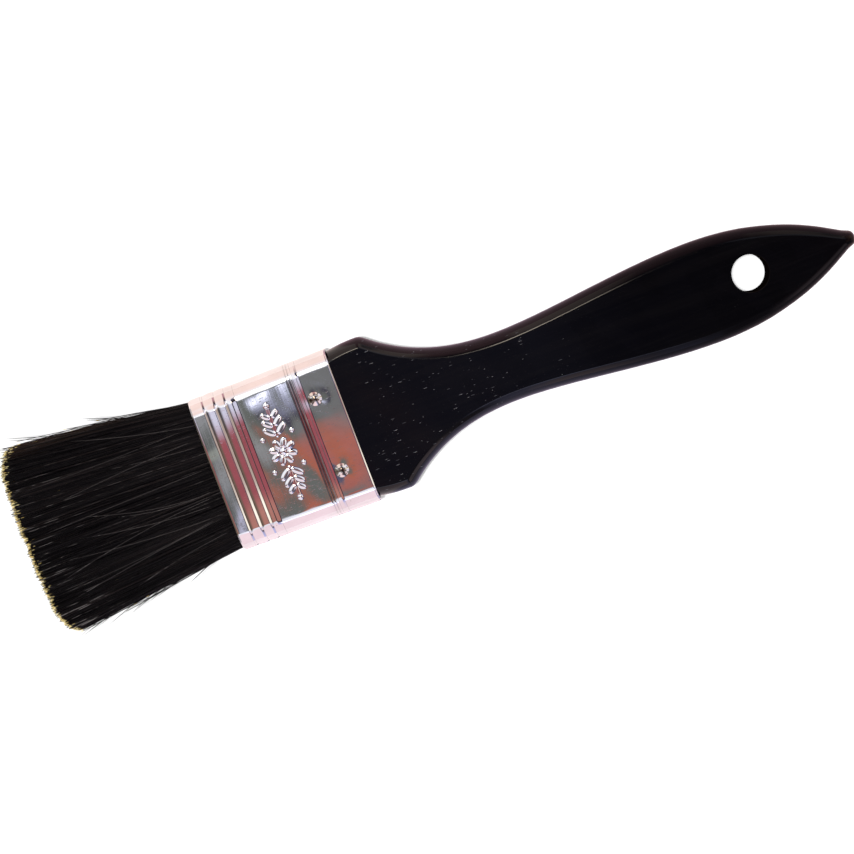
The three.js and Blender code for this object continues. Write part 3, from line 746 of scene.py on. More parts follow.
def build_ferrule():
    samples = ferrule_perimeter()
    n = len(samples)
    r, T = CORNER, HALF_T

    def section(x):
        """y, z, ny, nz, flatness and seam lift round the sleeve at x."""
        W = HALF_W[0] + (HALF_W[1] - HALF_W[0]) * (x - MOUTH) / (OPEN - MOUTH)
        out = np.zeros((n, 6))
        for i, (seg, s) in enumerate(samples):
            if seg == "front":
                out[i] = ((W - r) * s, T, 0, 1, 1, 0)
            elif seg == "rear":
                out[i] = ((W - r) * s, -T, 0, -1, 1, 0)
            elif seg == "left":
                lift = 0.28 * float(smoothstep(0.40, 0.30, s))
                out[i] = (-W, s, -1, 0, 0, lift)
            elif seg == "right":
                out[i] = (W, s, 1, 0, 0, 0)
            else:
                quarter = {"c1": 1, "c2": 2, "c3": 3, "c4": 0}[seg]
                a = (quarter + s) * math.pi / 2
                cy = (W - r) if quarter in (0, 3) else -(W - r)
                cz = (T - r) if quarter in (0, 1) else -(T - r)
                side = abs(math.cos(a))
                lift = 0.28 * (1 - s) ** 2 if seg == "c2" else 0.0
                out[i] = (cy + r * math.cos(a), cz + r * math.sin(a), math.cos(a), math.sin(a), (1 - side) ** 1.0, lift)
        return out

    xs = [MOUTH]
    for foot, slopes, _ in BEADS:
        xs += [foot + d for d, _ in slopes] + list(np.arange(foot + 0.11, foot + slopes[-1][0], 0.17))
    xs += LIP[0] + RAMP[0] + [-14.19]
    for at in GROOVES:
        xs += [at - 0.11, at - 0.05, at, at + 0.05, at + 0.11]
    xs += [7.1, 7.8]
    xs += list(np.arange(-6.1, 6.4, 0.18))
    xs += [MOUTH + v for v in (0.06, 0.12, 0.19, 0.27, 0.36, 0.48)]
    xs += list(np.arange(MOUTH + 0.8, -14.4, 0.35))
    xs += [OPEN - v for v in (0.06, 0.13, 0.21, 0.30, 0.40)]
    xs += list(np.arange(9.75, OPEN - 0.55, 0.28))
    xs.append(OPEN)
    xs = np.unique(np.round(np.array(xs), 4))
    keep = [xs[0]]
    for v in xs[1:]:
        if v - keep[-1] > 0.035:
            keep.append(v)
    keep[-1] = OPEN
    xs = np.array(keep)

    sec = np.array([section(x) for x in xs])
    X = np.repeat(xs[:, None], n, 1)
    Y, Z, NY, NZ, FLAT, SEAM = (sec[..., k] for k in range(6))
    seg_names = np.array([s for s, _ in samples])
    front = (seg_names == "front")[None, :].repeat(len(xs), 0)
    rear = (seg_names == "rear")[None, :].repeat(len(xs), 0)

    fade = 0.12 + 0.88 * smoothstep(0.70, 0.99, FLAT) + 0.35 * smoothstep(0.12, 0.0, FLAT)
    lift = rolled_height(X) * fade
    half_flat = 15.2
    crown = 0.16 * (1 - np.clip(np.abs(Y) / half_flat, 0, 1) ** 2) * (front | rear)
    lift = lift + crown
    # the sheet is pulled in a little round each nail
    for _, nx, ny, side in NAILS:
        here = front if side > 0 else rear
        d2 = (X - nx) ** 2 + (Y - ny) ** 2
        wob = 1 + 0.2 * np.cos(np.arctan2(Y - ny, X - nx) * 2 + (1.0 if ny > 0 else 2.4))
        lift = lift - 0.045 * wob * np.exp(-d2 / (2 * 2.2**2)) * here
    lift = lift + 0.15 * ornament_height(X, Y) * front
    # hand-made unevenness: long shallow waves, and small dents along the corners
    wave = (
        0.008 * np.sin(0.42 * X + 0.23 * Y + 0.5)
        + 0.009 * np.sin(-0.28 * X + 0.36 * Y + 1.9)
        + 0.003 * np.sin(0.83 * X + 0.19 * Y + 4.0)
    )
    lift = lift + wave * np.where(front | rear, 1.0, 0.55)
    corner = ~(front | rear)
    lift = lift + 0.005 * np.sin(0.9 * X + 3.0 * Z) * corner
    lift = lift + SEAM
    # the mouth is eased in over the bristle and the open end is crimped on to the wood
    lift = lift - 0.14 * smoothstep(MOUTH + 0.42, MOUTH, X) ** 2 - 0.08 * smoothstep(OPEN - 0.35, OPEN, X) ** 2

    SHEET = 0.3
    rows = []
    for k in range(len(xs)):
        rows.append(np.stack([X[k], Y[k] + NY[k] * lift[k], MID + Z[k] + NZ[k] * lift[k]], -1))
    # rolled edge at the open end, then the inside back to the mouth, then its rolled edge
    inside_x = [OPEN, 14, 11, 8.5, 5, 0, -5, -9, -13, MOUTH]
    base_in = -SHEET - 0.06

    def ring_at(x, offset, k_like=None):
        s = section(x)
        if k_like is not None:
            off = lift[k_like] + offset
        else:
            off = np.full(n, base_in)
            for _, nx, ny, side in NAILS:
                here = seg_names == ("front" if side > 0 else "rear")
                d2 = (x - nx) ** 2 + (s[:, 0] - ny) ** 2
                off = off - 0.06 * np.exp(-d2 / (2 * 2.2**2)) * here
        return np.stack([np.full(n, x), s[:, 0] + s[:, 2] * off, MID + s[:, 1] + s[:, 3] * off], -1)

    last = len(xs) - 1
    rows.append(ring_at(OPEN + 0.07, -0.06, last) + np.array([0, 0, 0]))
    rows.append(ring_at(OPEN + 0.09, -SHEET / 2, last))
    rows.append(ring_at(OPEN + 0.06, -SHEET + 0.05, last))
    rows.append(ring_at(OPEN, -SHEET, last))
    for x in inside_x[1:-1]:
        rows.append(ring_at(x, 0))
    rows.append(ring_at(MOUTH, -SHEET, 0))
    rows.append(ring_at(MOUTH - 0.06, -SHEET + 0.05, 0))
    rows.append(ring_at(MOUTH - 0.09, -SHEET / 2, 0))
    rows.append(ring_at(MOUTH - 0.07, -0.06, 0))
    verts = np.concatenate(rows)
    faces = strip_faces(len(rows), n)
    tail = (len(rows) - 1) * n
    for i in range(n):
        j = (i + 1) % n
        faces.append([tail + i, tail + j, j, i])
    ob = make_object("tinplate_ferrule", make_mesh("tinplate_ferrule", verts, faces), TINPLATE)
    import bmesh

    bm = bmesh.new()
    bm.from_mesh(ob.data)
    bmesh.ops.recalc_face_normals(bm, faces=bm.faces)
    bm.to_mesh(ob.data)
    bm.free()
    return ob


# ------------------------------------------------------------------ nails


def build_nail(name, nx, ny, side, seed):
    rng = np.random.default_rng(seed)
    R, H = 1.82, 0.92
    seat = HALF_T - 0.10
    prof = [(0.0, -4.3), (0.7, -3.2), (0.7, -0.04), (R * 0.90, -0.04), (R * 0.985, 0.0), (R, 0.09)]
    for q in np.linspace(1, 0, 17)[1:]:
        prof.append((R * q, 0.20 + (H - 0.20) * (1 - q**2.1)))
    segs = 44
    verts = []
    dent = rng.uniform(0, 2 * math.pi)
    for r, z in prof:
        for i in range(segs):
            a = 2 * math.pi * i / segs
            rr = r * (1 + (0.012 * math.cos(2 * a + dent) + 0.008 * math.cos(3 * a)) * (z > -0.1))
            zz = z
            if z > 0.1:
                px, py = rr * math.cos(a), rr * math.sin(a)
                d = math.hypot(px - 0.55 * math.cos(dent), py - 0.55 * math.sin(dent))
                zz -= 0.02 * math.exp(-((d / 0.6) ** 2))  # where the hammer met it
            verts.append((nx + rr * math.cos(a), ny + side * rr * math.sin(a), MID + side * (seat + zz)))
    faces = strip_faces(len(prof), segs)
    me = make_mesh(name, verts, faces)
    # how far out from the head's centre, for the painted dark crown and rim
    radial = np.repeat([min(1.0, r / R) if z > -0.1 else 1.0 for r, z in prof], segs)
    me.attributes.new("radial", "FLOAT", "POINT").data.foreach_set("value", radial.astype(np.float32))
    ob = make_object(name, me, NAIL_METAL)
    weld(ob, 1e-3)
    return ob


# ------------------------------------------------------------------ bristle


LANES = 512


def filament_tones(count):
    """One number for each filament, repeating every LANES filaments so that they can share lanes of a map."""
    return np.random.default_rng(5).random(LANES)[np.arange(count) % LANES]


def build_bank(name, side, count, seed):
    """Filaments of one bank as closed tapered tubes, from inside the ferrule to the flagged tips."""
    rng = np.random.default_rng(seed)
    segs, sides = 9, 4
    # places in the mouth, evenly spread with jitter, round the gap that the filler plug leaves
    ys, zs = [], []
    while len(ys) < count:
        y = rng.uniform(-18.45, 18.45, count)
        z = rng.uniform(0.02, 4.72, count)
        r = 3.6
        cy, cz = 18.45 - r, 4.72 - r
        over = (np.abs(y) > cy) & (z > cz) & (np.hypot(np.abs(y) - cy, z - cz) > r)
        gap = (np.abs(y) < 14.2) & (z < 1.5)
        ok = ~over & ~gap
        ys += list(y[ok])
        zs += list(z[ok])
    y0, z0 = np.array(ys[:count]), np.array(zs[:count])
    # a dense skin: a third of the filaments lie on the outside of the pack
    skin = np.arange(count) < count * 0.36
    zs_edge = 4.70 - rng.uniform(0, 0.32, count) ** 1.2
    r = 3.6
    lim = 18.45 - r
    edge_drop = np.where(np.abs(y0) > lim, r - np.sqrt(np.clip(r**2 - (np.abs(y0) - lim) ** 2, 0, None)), 0)
    z0 = np.where(skin, zs_edge - edge_drop, z0)
    sidehair = (np.arange(count) >= count * 0.36) & (np.arange(count) < count * 0.42)
    z_side = rng.uniform(0.02, 3.4, count)
    y_side = 18.40 - np.where(z_side > 4.72 - r, r - np.sqrt(np.clip(r**2 - (z_side - (4.72 - r)) ** 2, 0, None)), 0)
    y_side = (y_side - rng.uniform(0, 0.3, count)) * np.where(rng.random(count) < 0.5, 1, -1)
    y0 = np.where(sidehair, y_side, y0)
    z0 = np.where(sidehair, z_side, z0)

    # clumps: neighbouring filaments lean together towards shared places at the tip
    clump_w = 1.15
    clump = np.round(y0 / clump_w + rng.normal(0, 0.12, count))
    clump_shift = np.random.default_rng(seed + 7).normal(0, 0.10, 200)
    u = y0 / 18.45
    fan = 23.25 / 18.45
    y1 = y0 * fan + clump_shift[(clump + 60).astype(int) % 200] + rng.normal(0, 0.28, count)
    pull = (clump * clump_w * fan - y0 * fan) * rng.uniform(0.0, 0.22, count)
    y1 = y1 + pull
    wild = rng.random(count) < 0.11
    y1 = y1 + np.where(wild, rng.normal(0, 1.7, count), 0)
    y1 = np.clip(y1, -23.6, 23.6)
    rel = np.where(z0 > 1.5, (z0 - 1.5) / 3.2, rng.uniform(0, 1, count) * 0.4)
    z1 = np.clip(rel, 0, 1) * 3.55 * (0.75 + 0.25 * np.sqrt(1 - np.clip(np.abs(u), 0, 1) ** 4)) + rng.normal(0, 0.14, count)
    z1 = np.where(skin, np.maximum(z1, 3.1 + rng.normal(0, 0.12, count)), z1)
    bow = 0.5 * (y1 / 23.3) ** 2 + 3.3 * np.abs(y1 / 23.3) ** 7
    short = rng.random(count)
    xt = TIP + 0.30 + bow + rng.normal(0, 0.17, count)
    xt = xt + np.where(short < 0.16, rng.uniform(0.2, 1.3, count), 0)
    dark_tip = (filament_tones(count) * 37.0) % 1.0 < 0.17
    xt = xt - np.where(dark_tip & (short > 0.45), rng.uniform(0.1, 0.75, count), 0)
    xt = xt + np.where((short > 0.22) & (short < 0.235), rng.uniform(4, 22, count), 0)  # broken or short filaments
    # gentle raggedness along the tip edge, and a frayed corner at +Y
    xt = xt + 0.16 * np.sin(y1 * 0.9 + 1.1) * np.sin(y1 * 0.37 + 1.3)
    frayed = smoothstep(20.0, 23.0, y1)
    xt = xt + frayed * rng.normal(0.5, 0.8, count)
    xt = np.maximum(xt, TIP - 0.45)

    amp1 = rng.normal(0, 0.16, count) * np.where(wild, 2.2, 1)
    ph1 = rng.uniform(0, 2 * np.pi, count)
    k1 = rng.uniform(0.5, 1.35, count)
    ampz = rng.normal(0, 0.10, count)
    phz = rng.uniform(0, 2 * np.pi, count)
    r0 = rng.uniform(0.088, 0.125, count)

    # stations: one inside the ferrule, one at the mouth, the rest on the free length
    s = np.array([-0.17, 0.0, 0.12, 0.27, 0.43, 0.60, 0.77, 0.92, 0.993, 1.0])
    S = s[None, :]
    sp = np.clip(S, 0, None)
    L = (MOUTH - xt)[:, None]
    Xc = MOUTH - L * sp
    Xc[:, 0] = MOUTH + 8.2
    ease = sp**0.97
    wob = amp1[:, None] * (np.sin(2 * np.pi * k1[:, None] * sp + ph1[:, None]) - np.sin(ph1[:, None])) * sp**0.6
    Yc = y0[:, None] + (y1 - y0)[:, None] * ease + wob
    belly = 0.42 * np.sin(np.pi * np.clip(sp * 1.02, 0, 1)) * np.clip(z0 / 4.7, 0, 1)[:, None]
    Zc = z0[:, None] + (z1 - z0)[:, None] * sp**1.25 + belly
    Zc = Zc + ampz[:, None] * (np.sin(2 * np.pi * 0.8 * sp + phz[:, None]) - np.sin(phz[:, None])) * sp**0.6
    Zc = np.maximum(Zc, 0.02)
    # flyaway skin filaments lift a little off the face
    fly = (rng.random(count) < 0.02) & skin
    Zc = Zc + np.where(fly, rng.uniform(0.2, 0.9, count), 0)[:, None] * sp**1.6
    taper = np.interp(s, [-0.2, 0.0, 0.6, 0.92, 1.0], [1, 1, 0.88, 0.78, 0.72])
    rad = r0[:, None] * taper[None, :]
    return tubes(name, Xc, Yc, Zc * side, rad, sides, rng)


def tubes(name, Xc, Yc, Zc, rad, sides, rng, tones=None):
    count, m = Xc.shape
    P = np.stack([Xc, Yc, Zc + MID], -1)
    T = np.gradient(P, axis=1)
    T /= np.linalg.norm(T, axis=2, keepdims=True)
    up = np.array([0.0, 0.0, 1.0])
    A = np.cross(T, up)
    A /= np.maximum(np.linalg.norm(A, axis=2, keepdims=True), 1e-9)
    B = np.cross(A, T)
    spin = rng.uniform(0, 2 * np.pi, count)
    V = np.zeros((count, m - 1, sides, 3))
    for k in range(sides):
        a = spin + 2 * np.pi * k / sides
        V[:, :, k] = P[:, :-1] + rad[:, :-1, None] * (
            np.cos(a)[:, None, None] * A[:, :-1] + np.sin(a)[:, None, None] * B[:, :-1]
        )
    tips = P[:, -1]
    per = (m - 1) * sides + 1
    verts = np.concatenate([V.reshape(count, -1, 3), tips[:, None, :]], 1).reshape(-1, 3)
    quads = np.array(strip_faces(m - 1, sides))
    tris = np.array([[(m - 2) * sides + k, (m - 2) * sides + (k + 1) % sides, per - 1] for k in range(sides)])
    cap = np.array([list(range(sides))[::-1]])
    base = (np.arange(count) * per)[:, None, None]
    q_all = (quads[None] + base).reshape(-1, 4).tolist()
    t_all = (tris[None] + base).reshape(-1, 3).tolist()
    c_all = (cap[None] + base).reshape(-1, sides).tolist()
    me = make_mesh(name, verts, q_all + t_all + c_all)
    # numbers for the material: distance back from the tip, and one tone for each filament
    along = np.concatenate(
        [np.repeat((P[:, :-1, 0] - P[:, -1:, 0])[:, :, None], sides, 2).reshape(count, -1), np.zeros((count, 1))], 1
    ).ravel()
    lane = np.arange(count) % LANES
    tone = np.repeat(filament_tones(count) if tones is None else tones, per)
    for key, values in (("along", along), ("tone", tone)):
        att = me.attributes.new(key, "FLOAT", "POINT")
        att.data.foreach_set("value", values.astype(np.float32))
    # one lane of the map for each tone, running from root to tip
    uv = me.uv_layers.new(name="OFBake")
    vi = np.zeros(len(me.loops), np.int64)
    me.loops.foreach_get("vertex_index", vi)
    corner = (vi % per) % sides
    u_coord = (np.repeat(lane, per)[vi] + 0.2 + 0.15 * corner) / LANES
    v_coord = 1 - np.clip(along[vi] / 62.0, 0, 1) ** 0.5
    uv.data.foreach_set("uv", np.stack([u_coord, v_coord], 1).astype(np.float32).ravel())
    ob = make_object(name, me, BRISTLE)
    return ob


def build_strays():
    """Loose filaments that stand away from the pack's two edges and cross over its front."""
    rng = np.random.default_rng(77)
    rows = []
    s = np.array([-0.17, 0.0, 0.12, 0.28, 0.44, 0.60, 0.76, 0.90, 1.0])
    # loose filaments beside the pack: side, how far along the free length each parts from the edge, how far past
    # the edge its end stands, where its end is along the free length, and its height
    def edge_at(q):
        return 18.45 + 4.8 * np.power(np.clip(q, 0, 1.05), 0.97)

    made = []
    for _ in range(9):  # at -Y they part at mid length and stand well away
        part = rng.uniform(0.30, 0.80)
        made.append((-1, part, rng.uniform(1.0, 3.2), min(1.0, part + rng.uniform(0.14, 0.30)), rng.uniform(-3.2, 3.4), rng.uniform(0.09, 0.115)))
    made += [
        (-1, 0.17, 2.0, 0.31, 3.0, 0.135), (-1, 0.57, 2.9, 0.78, 2.0, 0.115), (-1, 0.70, 2.7, 0.93, 1.0, 0.11), (-1, 0.30, 1.6, 0.50, 3.0, 0.11),
    ]
    for _ in range(11):  # at +Y they keep close to the edge
        part = rng.uniform(0.05, 0.75)
        made.append((1, part, rng.uniform(0.3, 1.4), min(1.01, part + rng.uniform(0.2, 0.4)), rng.uniform(-3.0, 3.6), rng.uniform(0.085, 0.11)))
    made += [
        (1, 0.24, 3.3, 0.53, 2.5, 0.11), (1, 0.26, 2.7, 0.52, 1.5, 0.10), (1, 0.30, 2.4, 0.50, 3.0, 0.105),
        (1, 0.60, 3.5, 0.93, 2.5, 0.11), (1, 0.64, 3.0, 0.95, 1.0, 0.10),
    ]
    X, Y, Z, R, tones = [], [], [], [], []
    for sgn, part, away, end, z0, rad in made:
        sp = np.clip(s, 0, None) * end
        x = MOUTH - FREE * sp
        x[0] = MOUTH + 8
        y = edge_at(sp) - 0.35 + (away + 0.35) * np.power(np.clip((sp - part * 0.9) / (end - part * 0.9), 0, 1), 1.15)
        y[0] = 18.0
        y = np.minimum(y, 27.2)
        z = z0 * (1 - 0.3 * sp) + rng.normal(0, 0.5) * sp
        X.append(x)
        Y.append(sgn * y)
        Z.append(np.clip(z, -4.4, 4.4))
        R.append(rad * np.interp(s, [-0.2, 0, 0.8, 1], [1, 1, 0.8, 0.5]))
        tones.append(0.5 + 0.36 * rng.random())
    # a few that lie across the front face
    for _ in range(20):
        y0 = rng.uniform(-17, 17)
        drift = rng.choice([-1, 1]) * rng.uniform(1.5, 6.5)
        length = rng.uniform(28, 48)
        sp = np.clip(s, 0, None)
        x = MOUTH - length * sp
        x[0] = MOUTH + 8
        y = y0 * (1 + 0.26 * sp * length / 49) + drift * sp**1.7 + rng.normal(0, 0.5) * np.sin(np.pi * sp)
        z = 4.6 + 0.75 * np.sin(np.pi * np.clip(sp, 0, 1) * 0.8) - 0.75 * sp**1.5
        X.append(x)
        Y.append(np.clip(y, -23.5, 23.5))
        Z.append(z)
        R.append(rng.uniform(0.055, 0.075) * np.interp(s, [-0.2, 0, 0.8, 1], [1, 1, 0.75, 0.35]))
        # tone 1.0 gives two in three of these the bristle material's painted highlight streaks
        tones.append(1.0 if len(tones) % 3 else 0.4)
    return tubes("loose_bristles", np.array(X), np.array(Y), np.array(Z), np.array(R), 5, rng, np.array(tones))


# ------------------------------------------------------------------ build

handle = build_handle()
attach(handle, "brush_body")
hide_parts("handle")

ferrule = build_ferrule()
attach(ferrule, "brush_body")
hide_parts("ferrule")

for i, (nail, nx, ny, side) in enumerate(NAILS):
    ob = build_nail("domed_" + nail, nx, ny, side, 30 + i)
    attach(ob, "brush_body")
    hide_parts(nail)

for name, side, seed, nodes in (
    ("bristles_front", 1, 11, ("bristle_bank_front", "bristle_roots_front")),
    ("bristles_rear", -1, 23, ("bristle_bank_rear", "bristle_roots_rear")),
):
    ob = build_bank(name, side, 2600, seed)
    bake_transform(ob)
    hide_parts(*nodes)

strays = build_strays()
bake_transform(strays)

for node, material in (("filler_plug", wood_material()), ("bristle_setting", resin_material())):
    cad = frame["nodes"][node]
    cad.data.materials.clear()
    cad.data.materials.append(material)

# ------------------------------------------------------------------ floor, light and camera

lowest = min(float(fer_lo[2]), MID - HALF_T - 1.0)
floor_me = make_mesh(
    "studio_floor",
    [(-2600, -2600, lowest - 0.02), (2600, -2600, lowest - 0.02), (2600, 2600, lowest - 0.02), (-2600, 2600, lowest - 0.02)],
    [[0, 1, 2, 3]],
    smooth=False,
)
fm = Nodes("studio_paper")
paper = fm.noise(fm.coords((0.02, 0.02, 0.02)), 1.0, 2, 0.5)
paper_color = fm.mix(paper, rgb(0.86, 0.86, 0.865), rgb(0.88, 0.88, 0.88))
# the paper's warm and cool sides, as the bright metal picks them up
sides = fm.range(fm.axis("Y"), -45.0, 45.0, 0.0, 1.0, True)
tinted = fm.mix(sides, rgb(0.90, 0.72, 0.78), rgb(0.92, 0.72, 0.65))
lp = fm.add("ShaderNodeLightPath")
beside_handle = fm.range(fm.axis("X"), 18.0, 21.0)
dusky = fm.mix(sides, fm.mix(fm.range(fm.axis("X"), 70.0, 120.0), rgb(0.50, 0.47, 0.68), rgb(0.26, 0.22, 0.25)), rgb(0.62, 0.37, 0.41))
tinted = fm.mix(beside_handle, tinted, dusky)
glossy_ray = lp.outputs["Is Glossy Ray"]
fm.link(fm.mix(glossy_ray, paper_color, tinted), fm.bsdf.inputs["Base Color"])
glow = fm.math("SUBTRACT", 1.0, fm.math("MULTIPLY", glossy_ray, beside_handle))
fm.link(fm.math("MULTIPLY", glow, 0.30), fm.bsdf.inputs["Emission Strength"])
fm.bsdf.inputs["Roughness"].default_value = 0.9
fm.bsdf.inputs["Emission Color"].default_value = rgb(1, 1, 1)
fm.bsdf.inputs["Specular IOR Level"].default_value = 0.1
floor = make_object("studio_floor", floor_me, fm.mat)

world = bpy.data.worlds.new("soft_studio")
bpy.context.scene.world = world
world.use_nodes = True
nt = world.node_tree
nt.nodes.clear()


def wn(kind, **props):
    node = nt.nodes.new(kind)
    for k, v in props.items():
        setattr(node, k, v)
    return node


def wmath(op, a, b=0.0, clamp=False):
    node = wn("ShaderNodeMath", operation=op, use_clamp=clamp)
    for i, v in enumerate((a, b)):
        if isinstance(v, (int, float)):
            node.inputs[i].default_value = v
        else:
            nt.links.new(v, node.inputs[i])
    return node.outputs[0]


def wrange(v, a, b, c=0.0, d=1.0, smooth=True):
    node = wn("ShaderNodeMapRange")
    if smooth:
        node.interpolation_type = "SMOOTHSTEP"
    nt.links.new(v, node.inputs["Value"])
    for key, value in (("From Min", a), ("From Max", b), ("To Min", c), ("To Max", d)):
        node.inputs[key].default_value = value
    return node.outputs["Result"]


def wmix(fac, a, b):
    node = wn("ShaderNodeMix", data_type="RGBA")
    if isinstance(fac, (int, float)):
        node.inputs["Factor"].default_value = fac
    else:
        nt.links.new(fac, node.inputs["Factor"])
    for key, v in (("A", a), ("B", b)):
        socket = [i for i in node.inputs if i.name == key and i.type == "RGBA"][0]
        if isinstance(v, tuple):
            socket.default_value = v
        else:
            nt.links.new(v, socket)
    return [o for o in node.outputs if o.type == "RGBA"][0]


# The room as the brush's shiny parts see it: a dim ceiling overhead with a warm patch in it, white light
# either side, cream light from the handle's end, and pale walls, rosy on one side and lavender on the other.
tc = wn("ShaderNodeTexCoord")
sep = wn("ShaderNodeSeparateXYZ")
nt.links.new(tc.outputs["Generated"], sep.inputs[0])
dx, dy, dz = sep.outputs["X"], sep.outputs["Y"], sep.outputs["Z"]
ady = wmath("ABSOLUTE", dy)


def winv(v):
    return wmath("SUBTRACT", 1.0, v)


def wbox(x0, x1, y0, y1, soft_x, soft_y):
    """1 inside a box of directions, with soft edges."""
    a = wmath("MULTIPLY", wrange(dx, x0 - soft_x, x0 + soft_x), winv(wrange(dx, x1 - soft_x, x1 + soft_x)))
    c = wmath("MULTIPLY", wrange(dy, y0 - soft_y, y0 + soft_y), winv(wrange(dy, y1 - soft_y, y1 + soft_y)))
    return wmath("MULTIPLY", a, c)


def wblob(cx, cy, rx, ry, turn, inner, outer):
    ca, sa = math.cos(turn), math.sin(turn)
    ex, ey = wmath("SUBTRACT", dx, cx), wmath("SUBTRACT", dy, cy)
    u = wmath("ADD", wmath("MULTIPLY", ex, ca / rx), wmath("MULTIPLY", ey, sa / rx))
    v = wmath("ADD", wmath("MULTIPLY", ex, -sa / ry), wmath("MULTIPLY", ey, ca / ry))
    d = wmath("SQRT", wmath("ADD", wmath("MULTIPLY", u, u), wmath("MULTIPLY", v, v)))
    return winv(wrange(d, inner, outer))


# 0 for what the ferrule sees overhead, 1 for what the handle sees
far = wmath("MULTIPLY", wrange(dx, -0.056, -0.004), winv(wrange(dx, 0.26, 0.40)))
plus_y = wmix(wrange(dy, 0.36, 0.80), rgb(1.20, 1.22, 1.30), rgb(1.20, 0.94, 0.86))
plus_y = wmix(far, plus_y, wmix(wrange(dy, 0.70, 0.98), rgb(0.16, 0.09, 0.09), rgb(0.66, 0.36, 0.40)))
minus_y = wmix(wrange(dy, -0.28, -0.60), rgb(1.10, 1.14, 1.26), rgb(1.18, 0.94, 1.02))
lavender = wmix(wrange(dx, 0.02, 0.13), rgb(0.66, 0.66, 1.05), rgb(0.16, 0.14, 0.17))
minus_y = wmix(far, minus_y, lavender)
room = wmix(wrange(dy, -0.12, 0.12), minus_y, plus_y)
plus_x = wrange(wmath("SUBTRACT", dx, wmath("MULTIPLY", ady, 0.8)), 0.28, 0.62)
room = wmix(plus_x, room, wmix(wrange(ady, 0.06, 0.22), rgb(1.35, 1.22, 1.02), rgb(0.95, 0.88, 1.15)))
minus_x = wrange(wmath("SUBTRACT", wmath("MULTIPLY", dx, -1.0), wmath("MULTIPLY", ady, 0.7)), 0.30, 0.62)
room = wmix(minus_x, room, rgb(0.20, 0.17, 0.14))
# the room's four corners are dim above the paper, so the flats keep their own colour when seen from low down
corners = wmath("MULTIPLY", wrange(wmath("ABSOLUTE", dx), 0.50, 0.62), wrange(ady, 0.50, 0.62))
dim = wmix(wrange(dz, 0.06, 0.50), rgb(0.50, 0.48, 0.52), rgb(0.12, 0.12, 0.135))
room = wmix(corners, room, dim)
# the dim ceiling, much wider over the handle than over the ferrule
over_x = wmath("MULTIPLY", wrange(dx, -1.03, -0.97), winv(wrange(dx, 0.96, 1.02)))
top_edge = wmath("SUBTRACT", dy, wmath("MULTIPLY", far, 0.62))
low_edge = wmath("ADD", dy, wmath("MULTIPLY", far, 0.16))
over_y = wmath("MULTIPLY", wrange(low_edge, -0.25, -0.15), winv(wrange(top_edge, 0.010, 0.090)))
over = wmath("MULTIPLY", over_x, over_y)
night = wmix(wrange(dx, 0.0, 0.11), rgb(0.105, 0.110, 0.190), rgb(0.040, 0.031, 0.030))
strip = wmix(wrange(dx, -0.1165, -0.1075), rgb(0.12, 0.13, 0.125), rgb(0.36, 0.37, 0.39))
light_patch = wmath("MULTIPLY", winv(wrange(dy, -0.044, -0.034)), wrange(dy, -0.062, -0.050))
strip = wmix(wmath("MULTIPLY", light_patch, 0.6), strip, rgb(0.42, 0.45, 0.40))
low_patch = wmath("MULTIPLY", winv(wrange(dy, -0.115, -0.085)), wrange(dx, -0.1125, -0.1090))
strip = wmix(low_patch, strip, rgb(0.62, 0.62, 0.82))
plate = wmix(wrange(dx, -0.104, -0.098), strip, rgb(0.165, 0.178, 0.168))
plate = wmix(wrange(dx, -0.074, -0.068), plate, rgb(0.21, 0.215, 0.22))
ceiling = wmix(wrange(dx, -0.052, -0.044), plate, night)
# it is rosy further out along the brush both ways, turning white towards +Y and salmon towards -Y
rosy = wmath("MAXIMUM", winv(wrange(dx, -0.20, -0.135)), wrange(dx, 0.155, 0.185))
rosy_color = wmix(wrange(dy, -0.040, -0.006), rgb(0.42, 0.112, 0.135), rgb(0.80, 0.80, 0.98))
rosy_color = wmix(wrange(dy, -0.095, -0.135), rosy_color, rgb(0.58, 0.26, 0.215))
ceiling = wmix(rosy, ceiling, rosy_color)
# beyond that, olive shade at -X, and cream light at +X which is brightest low down
olive = wmix(wrange(dy, -0.045, -0.010), rgb(0.175, 0.135, 0.100), rgb(0.060, 0.055, 0.055))
ceiling = wmix(winv(wrange(dx, -0.76, -0.42)), ceiling, olive)
cream = wmix(wrange(dy, -0.072, -0.118), rgb(0.58, 0.47, 0.41), rgb(1.45, 1.36, 1.18))
cream_from = wmath("ADD", dx, wrange(dy, -0.080, -0.130, 0.0, 0.10))
ceiling = wmix(wrange(cream_from, 0.43, 0.52), ceiling, cream)
salmon = wbox(-0.0835, -0.0500, -0.30, -0.065, 0.0040, 0.016)
salmon = wmath("MAXIMUM", salmon, wblob(-0.0885, -0.068, 0.006, 0.022, 0.1, 0.7, 1.3))
salmon = wmath("MULTIPLY", salmon, winv(wblob(-0.0600, -0.150, 0.010, 0.026, 0.0, 0.5, 1.2)))
ceiling = wmix(salmon, ceiling, wmix(wrange(dx, -0.078, -0.066), rgb(0.52, 0.165, 0.110), rgb(0.50, 0.172, 0.142)))
shadow = wblob(-0.0775, -0.026, 0.0048, 0.026, 0.0, 0.35, 1.15)
ceiling = wmix(wmath("MULTIPLY", shadow, 0.95), ceiling, rgb(0.055, 0.045, 0.085))
gleam = wblob(-0.0812, -0.012, 0.0085, 0.018, 0.25, 0.05, 1.15)
ceiling = wmix(gleam, ceiling, rgb(0.85, 0.90, 1.18))
core = wblob(-0.0808, -0.010, 0.0042, 0.010, 0.25, 0.1, 1.2)
ceiling = wmix(core, ceiling, rgb(1.7, 1.75, 2.1))
room = wmix(over, room, ceiling)
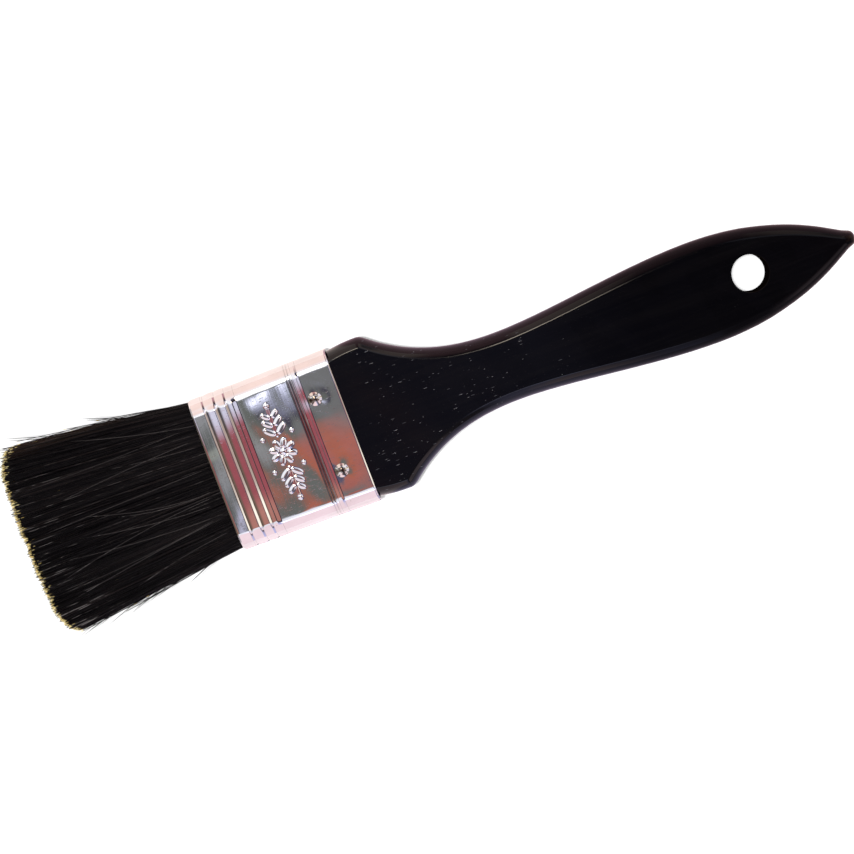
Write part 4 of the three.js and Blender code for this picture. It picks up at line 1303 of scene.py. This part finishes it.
# a narrow lamp on each side, which draws the thin bright line along the handle's ridge
lamp = wbox(-0.100, 0.024, 0.17, 0.42, 0.012, 0.02)
room = wmix(lamp, room, rgb(14.0, 12.2, 10.0))
lamp_low = wbox(-0.10, 0.06, -0.54, -0.40, 0.02, 0.02)
room = wmix(lamp_low, room, rgb(2.0, 2.1, 2.9))
path = wn("ShaderNodeLightPath")
seen = wmix(path.outputs["Is Glossy Ray"], rgb(0.97, 0.97, 0.975), room)
bg = wn("ShaderNodeBackground")
nt.links.new(seen, bg.inputs["Color"])
strength = wn("ShaderNodeMix", data_type="FLOAT")
nt.links.new(path.outputs["Is Diffuse Ray"], strength.inputs["Factor"])
strength.inputs["A"].default_value = 1.0
strength.inputs["B"].default_value = 0.26
nt.links.new(strength.outputs["Result"], bg.inputs["Strength"])
wout = wn("ShaderNodeOutputWorld")
nt.links.new(bg.outputs[0], wout.inputs[0])


cam_data = bpy.data.cameras.new("camera")
cam = bpy.data.objects.new("camera", cam_data)
bpy.context.scene.collection.objects.link(cam)
bpy.context.scene.camera = cam
DIST = 0.62
TURN = math.radians(20.6)
TILT = math.radians(5.0)
aim = Vector((0.0339, -0.0070, MID * MM))
right = Vector((math.cos(TURN), -math.sin(TURN), 0))
up = Vector((math.sin(TURN), math.cos(TURN), 0))
# the camera stands a little towards the top of the picture and looks back at the brush
back = (Vector((0, 0, 1)) * math.cos(TILT) + up * math.sin(TILT)).normalized()
cam_up = back.cross(right).normalized()
basis = Matrix((right, cam_up, back)).transposed().to_4x4()
cam.matrix_world = Matrix.Translation(aim + back * DIST) @ basis
cam_data.sensor_width = 36.0
cam_data.lens = 36.0 * DIST / 0.205
cam_data.clip_start = 0.01
cam_data.clip_end = 20.0

# one broad soft light from above, along the camera's line to the hang hole
sun_data = bpy.data.lights.new("overhead_softbox", "SUN")
sun_data.energy = 2.5
sun_data.angle = math.radians(5)
sun = bpy.data.objects.new("overhead_softbox", sun_data)
bpy.context.scene.collection.objects.link(sun)
sun_line = cam.matrix_world.translation - Vector((HOLE_X * MM, HOLE_Y * MM, MID * MM))
sun.rotation_euler = sun_line.to_track_quat("Z", "Y").to_euler()
sun.location = (0, 0, 0.6)
sun.visible_glossy = False

scene = bpy.context.scene
scene.view_settings.view_transform = "Standard"
scene.view_settings.look = "None"
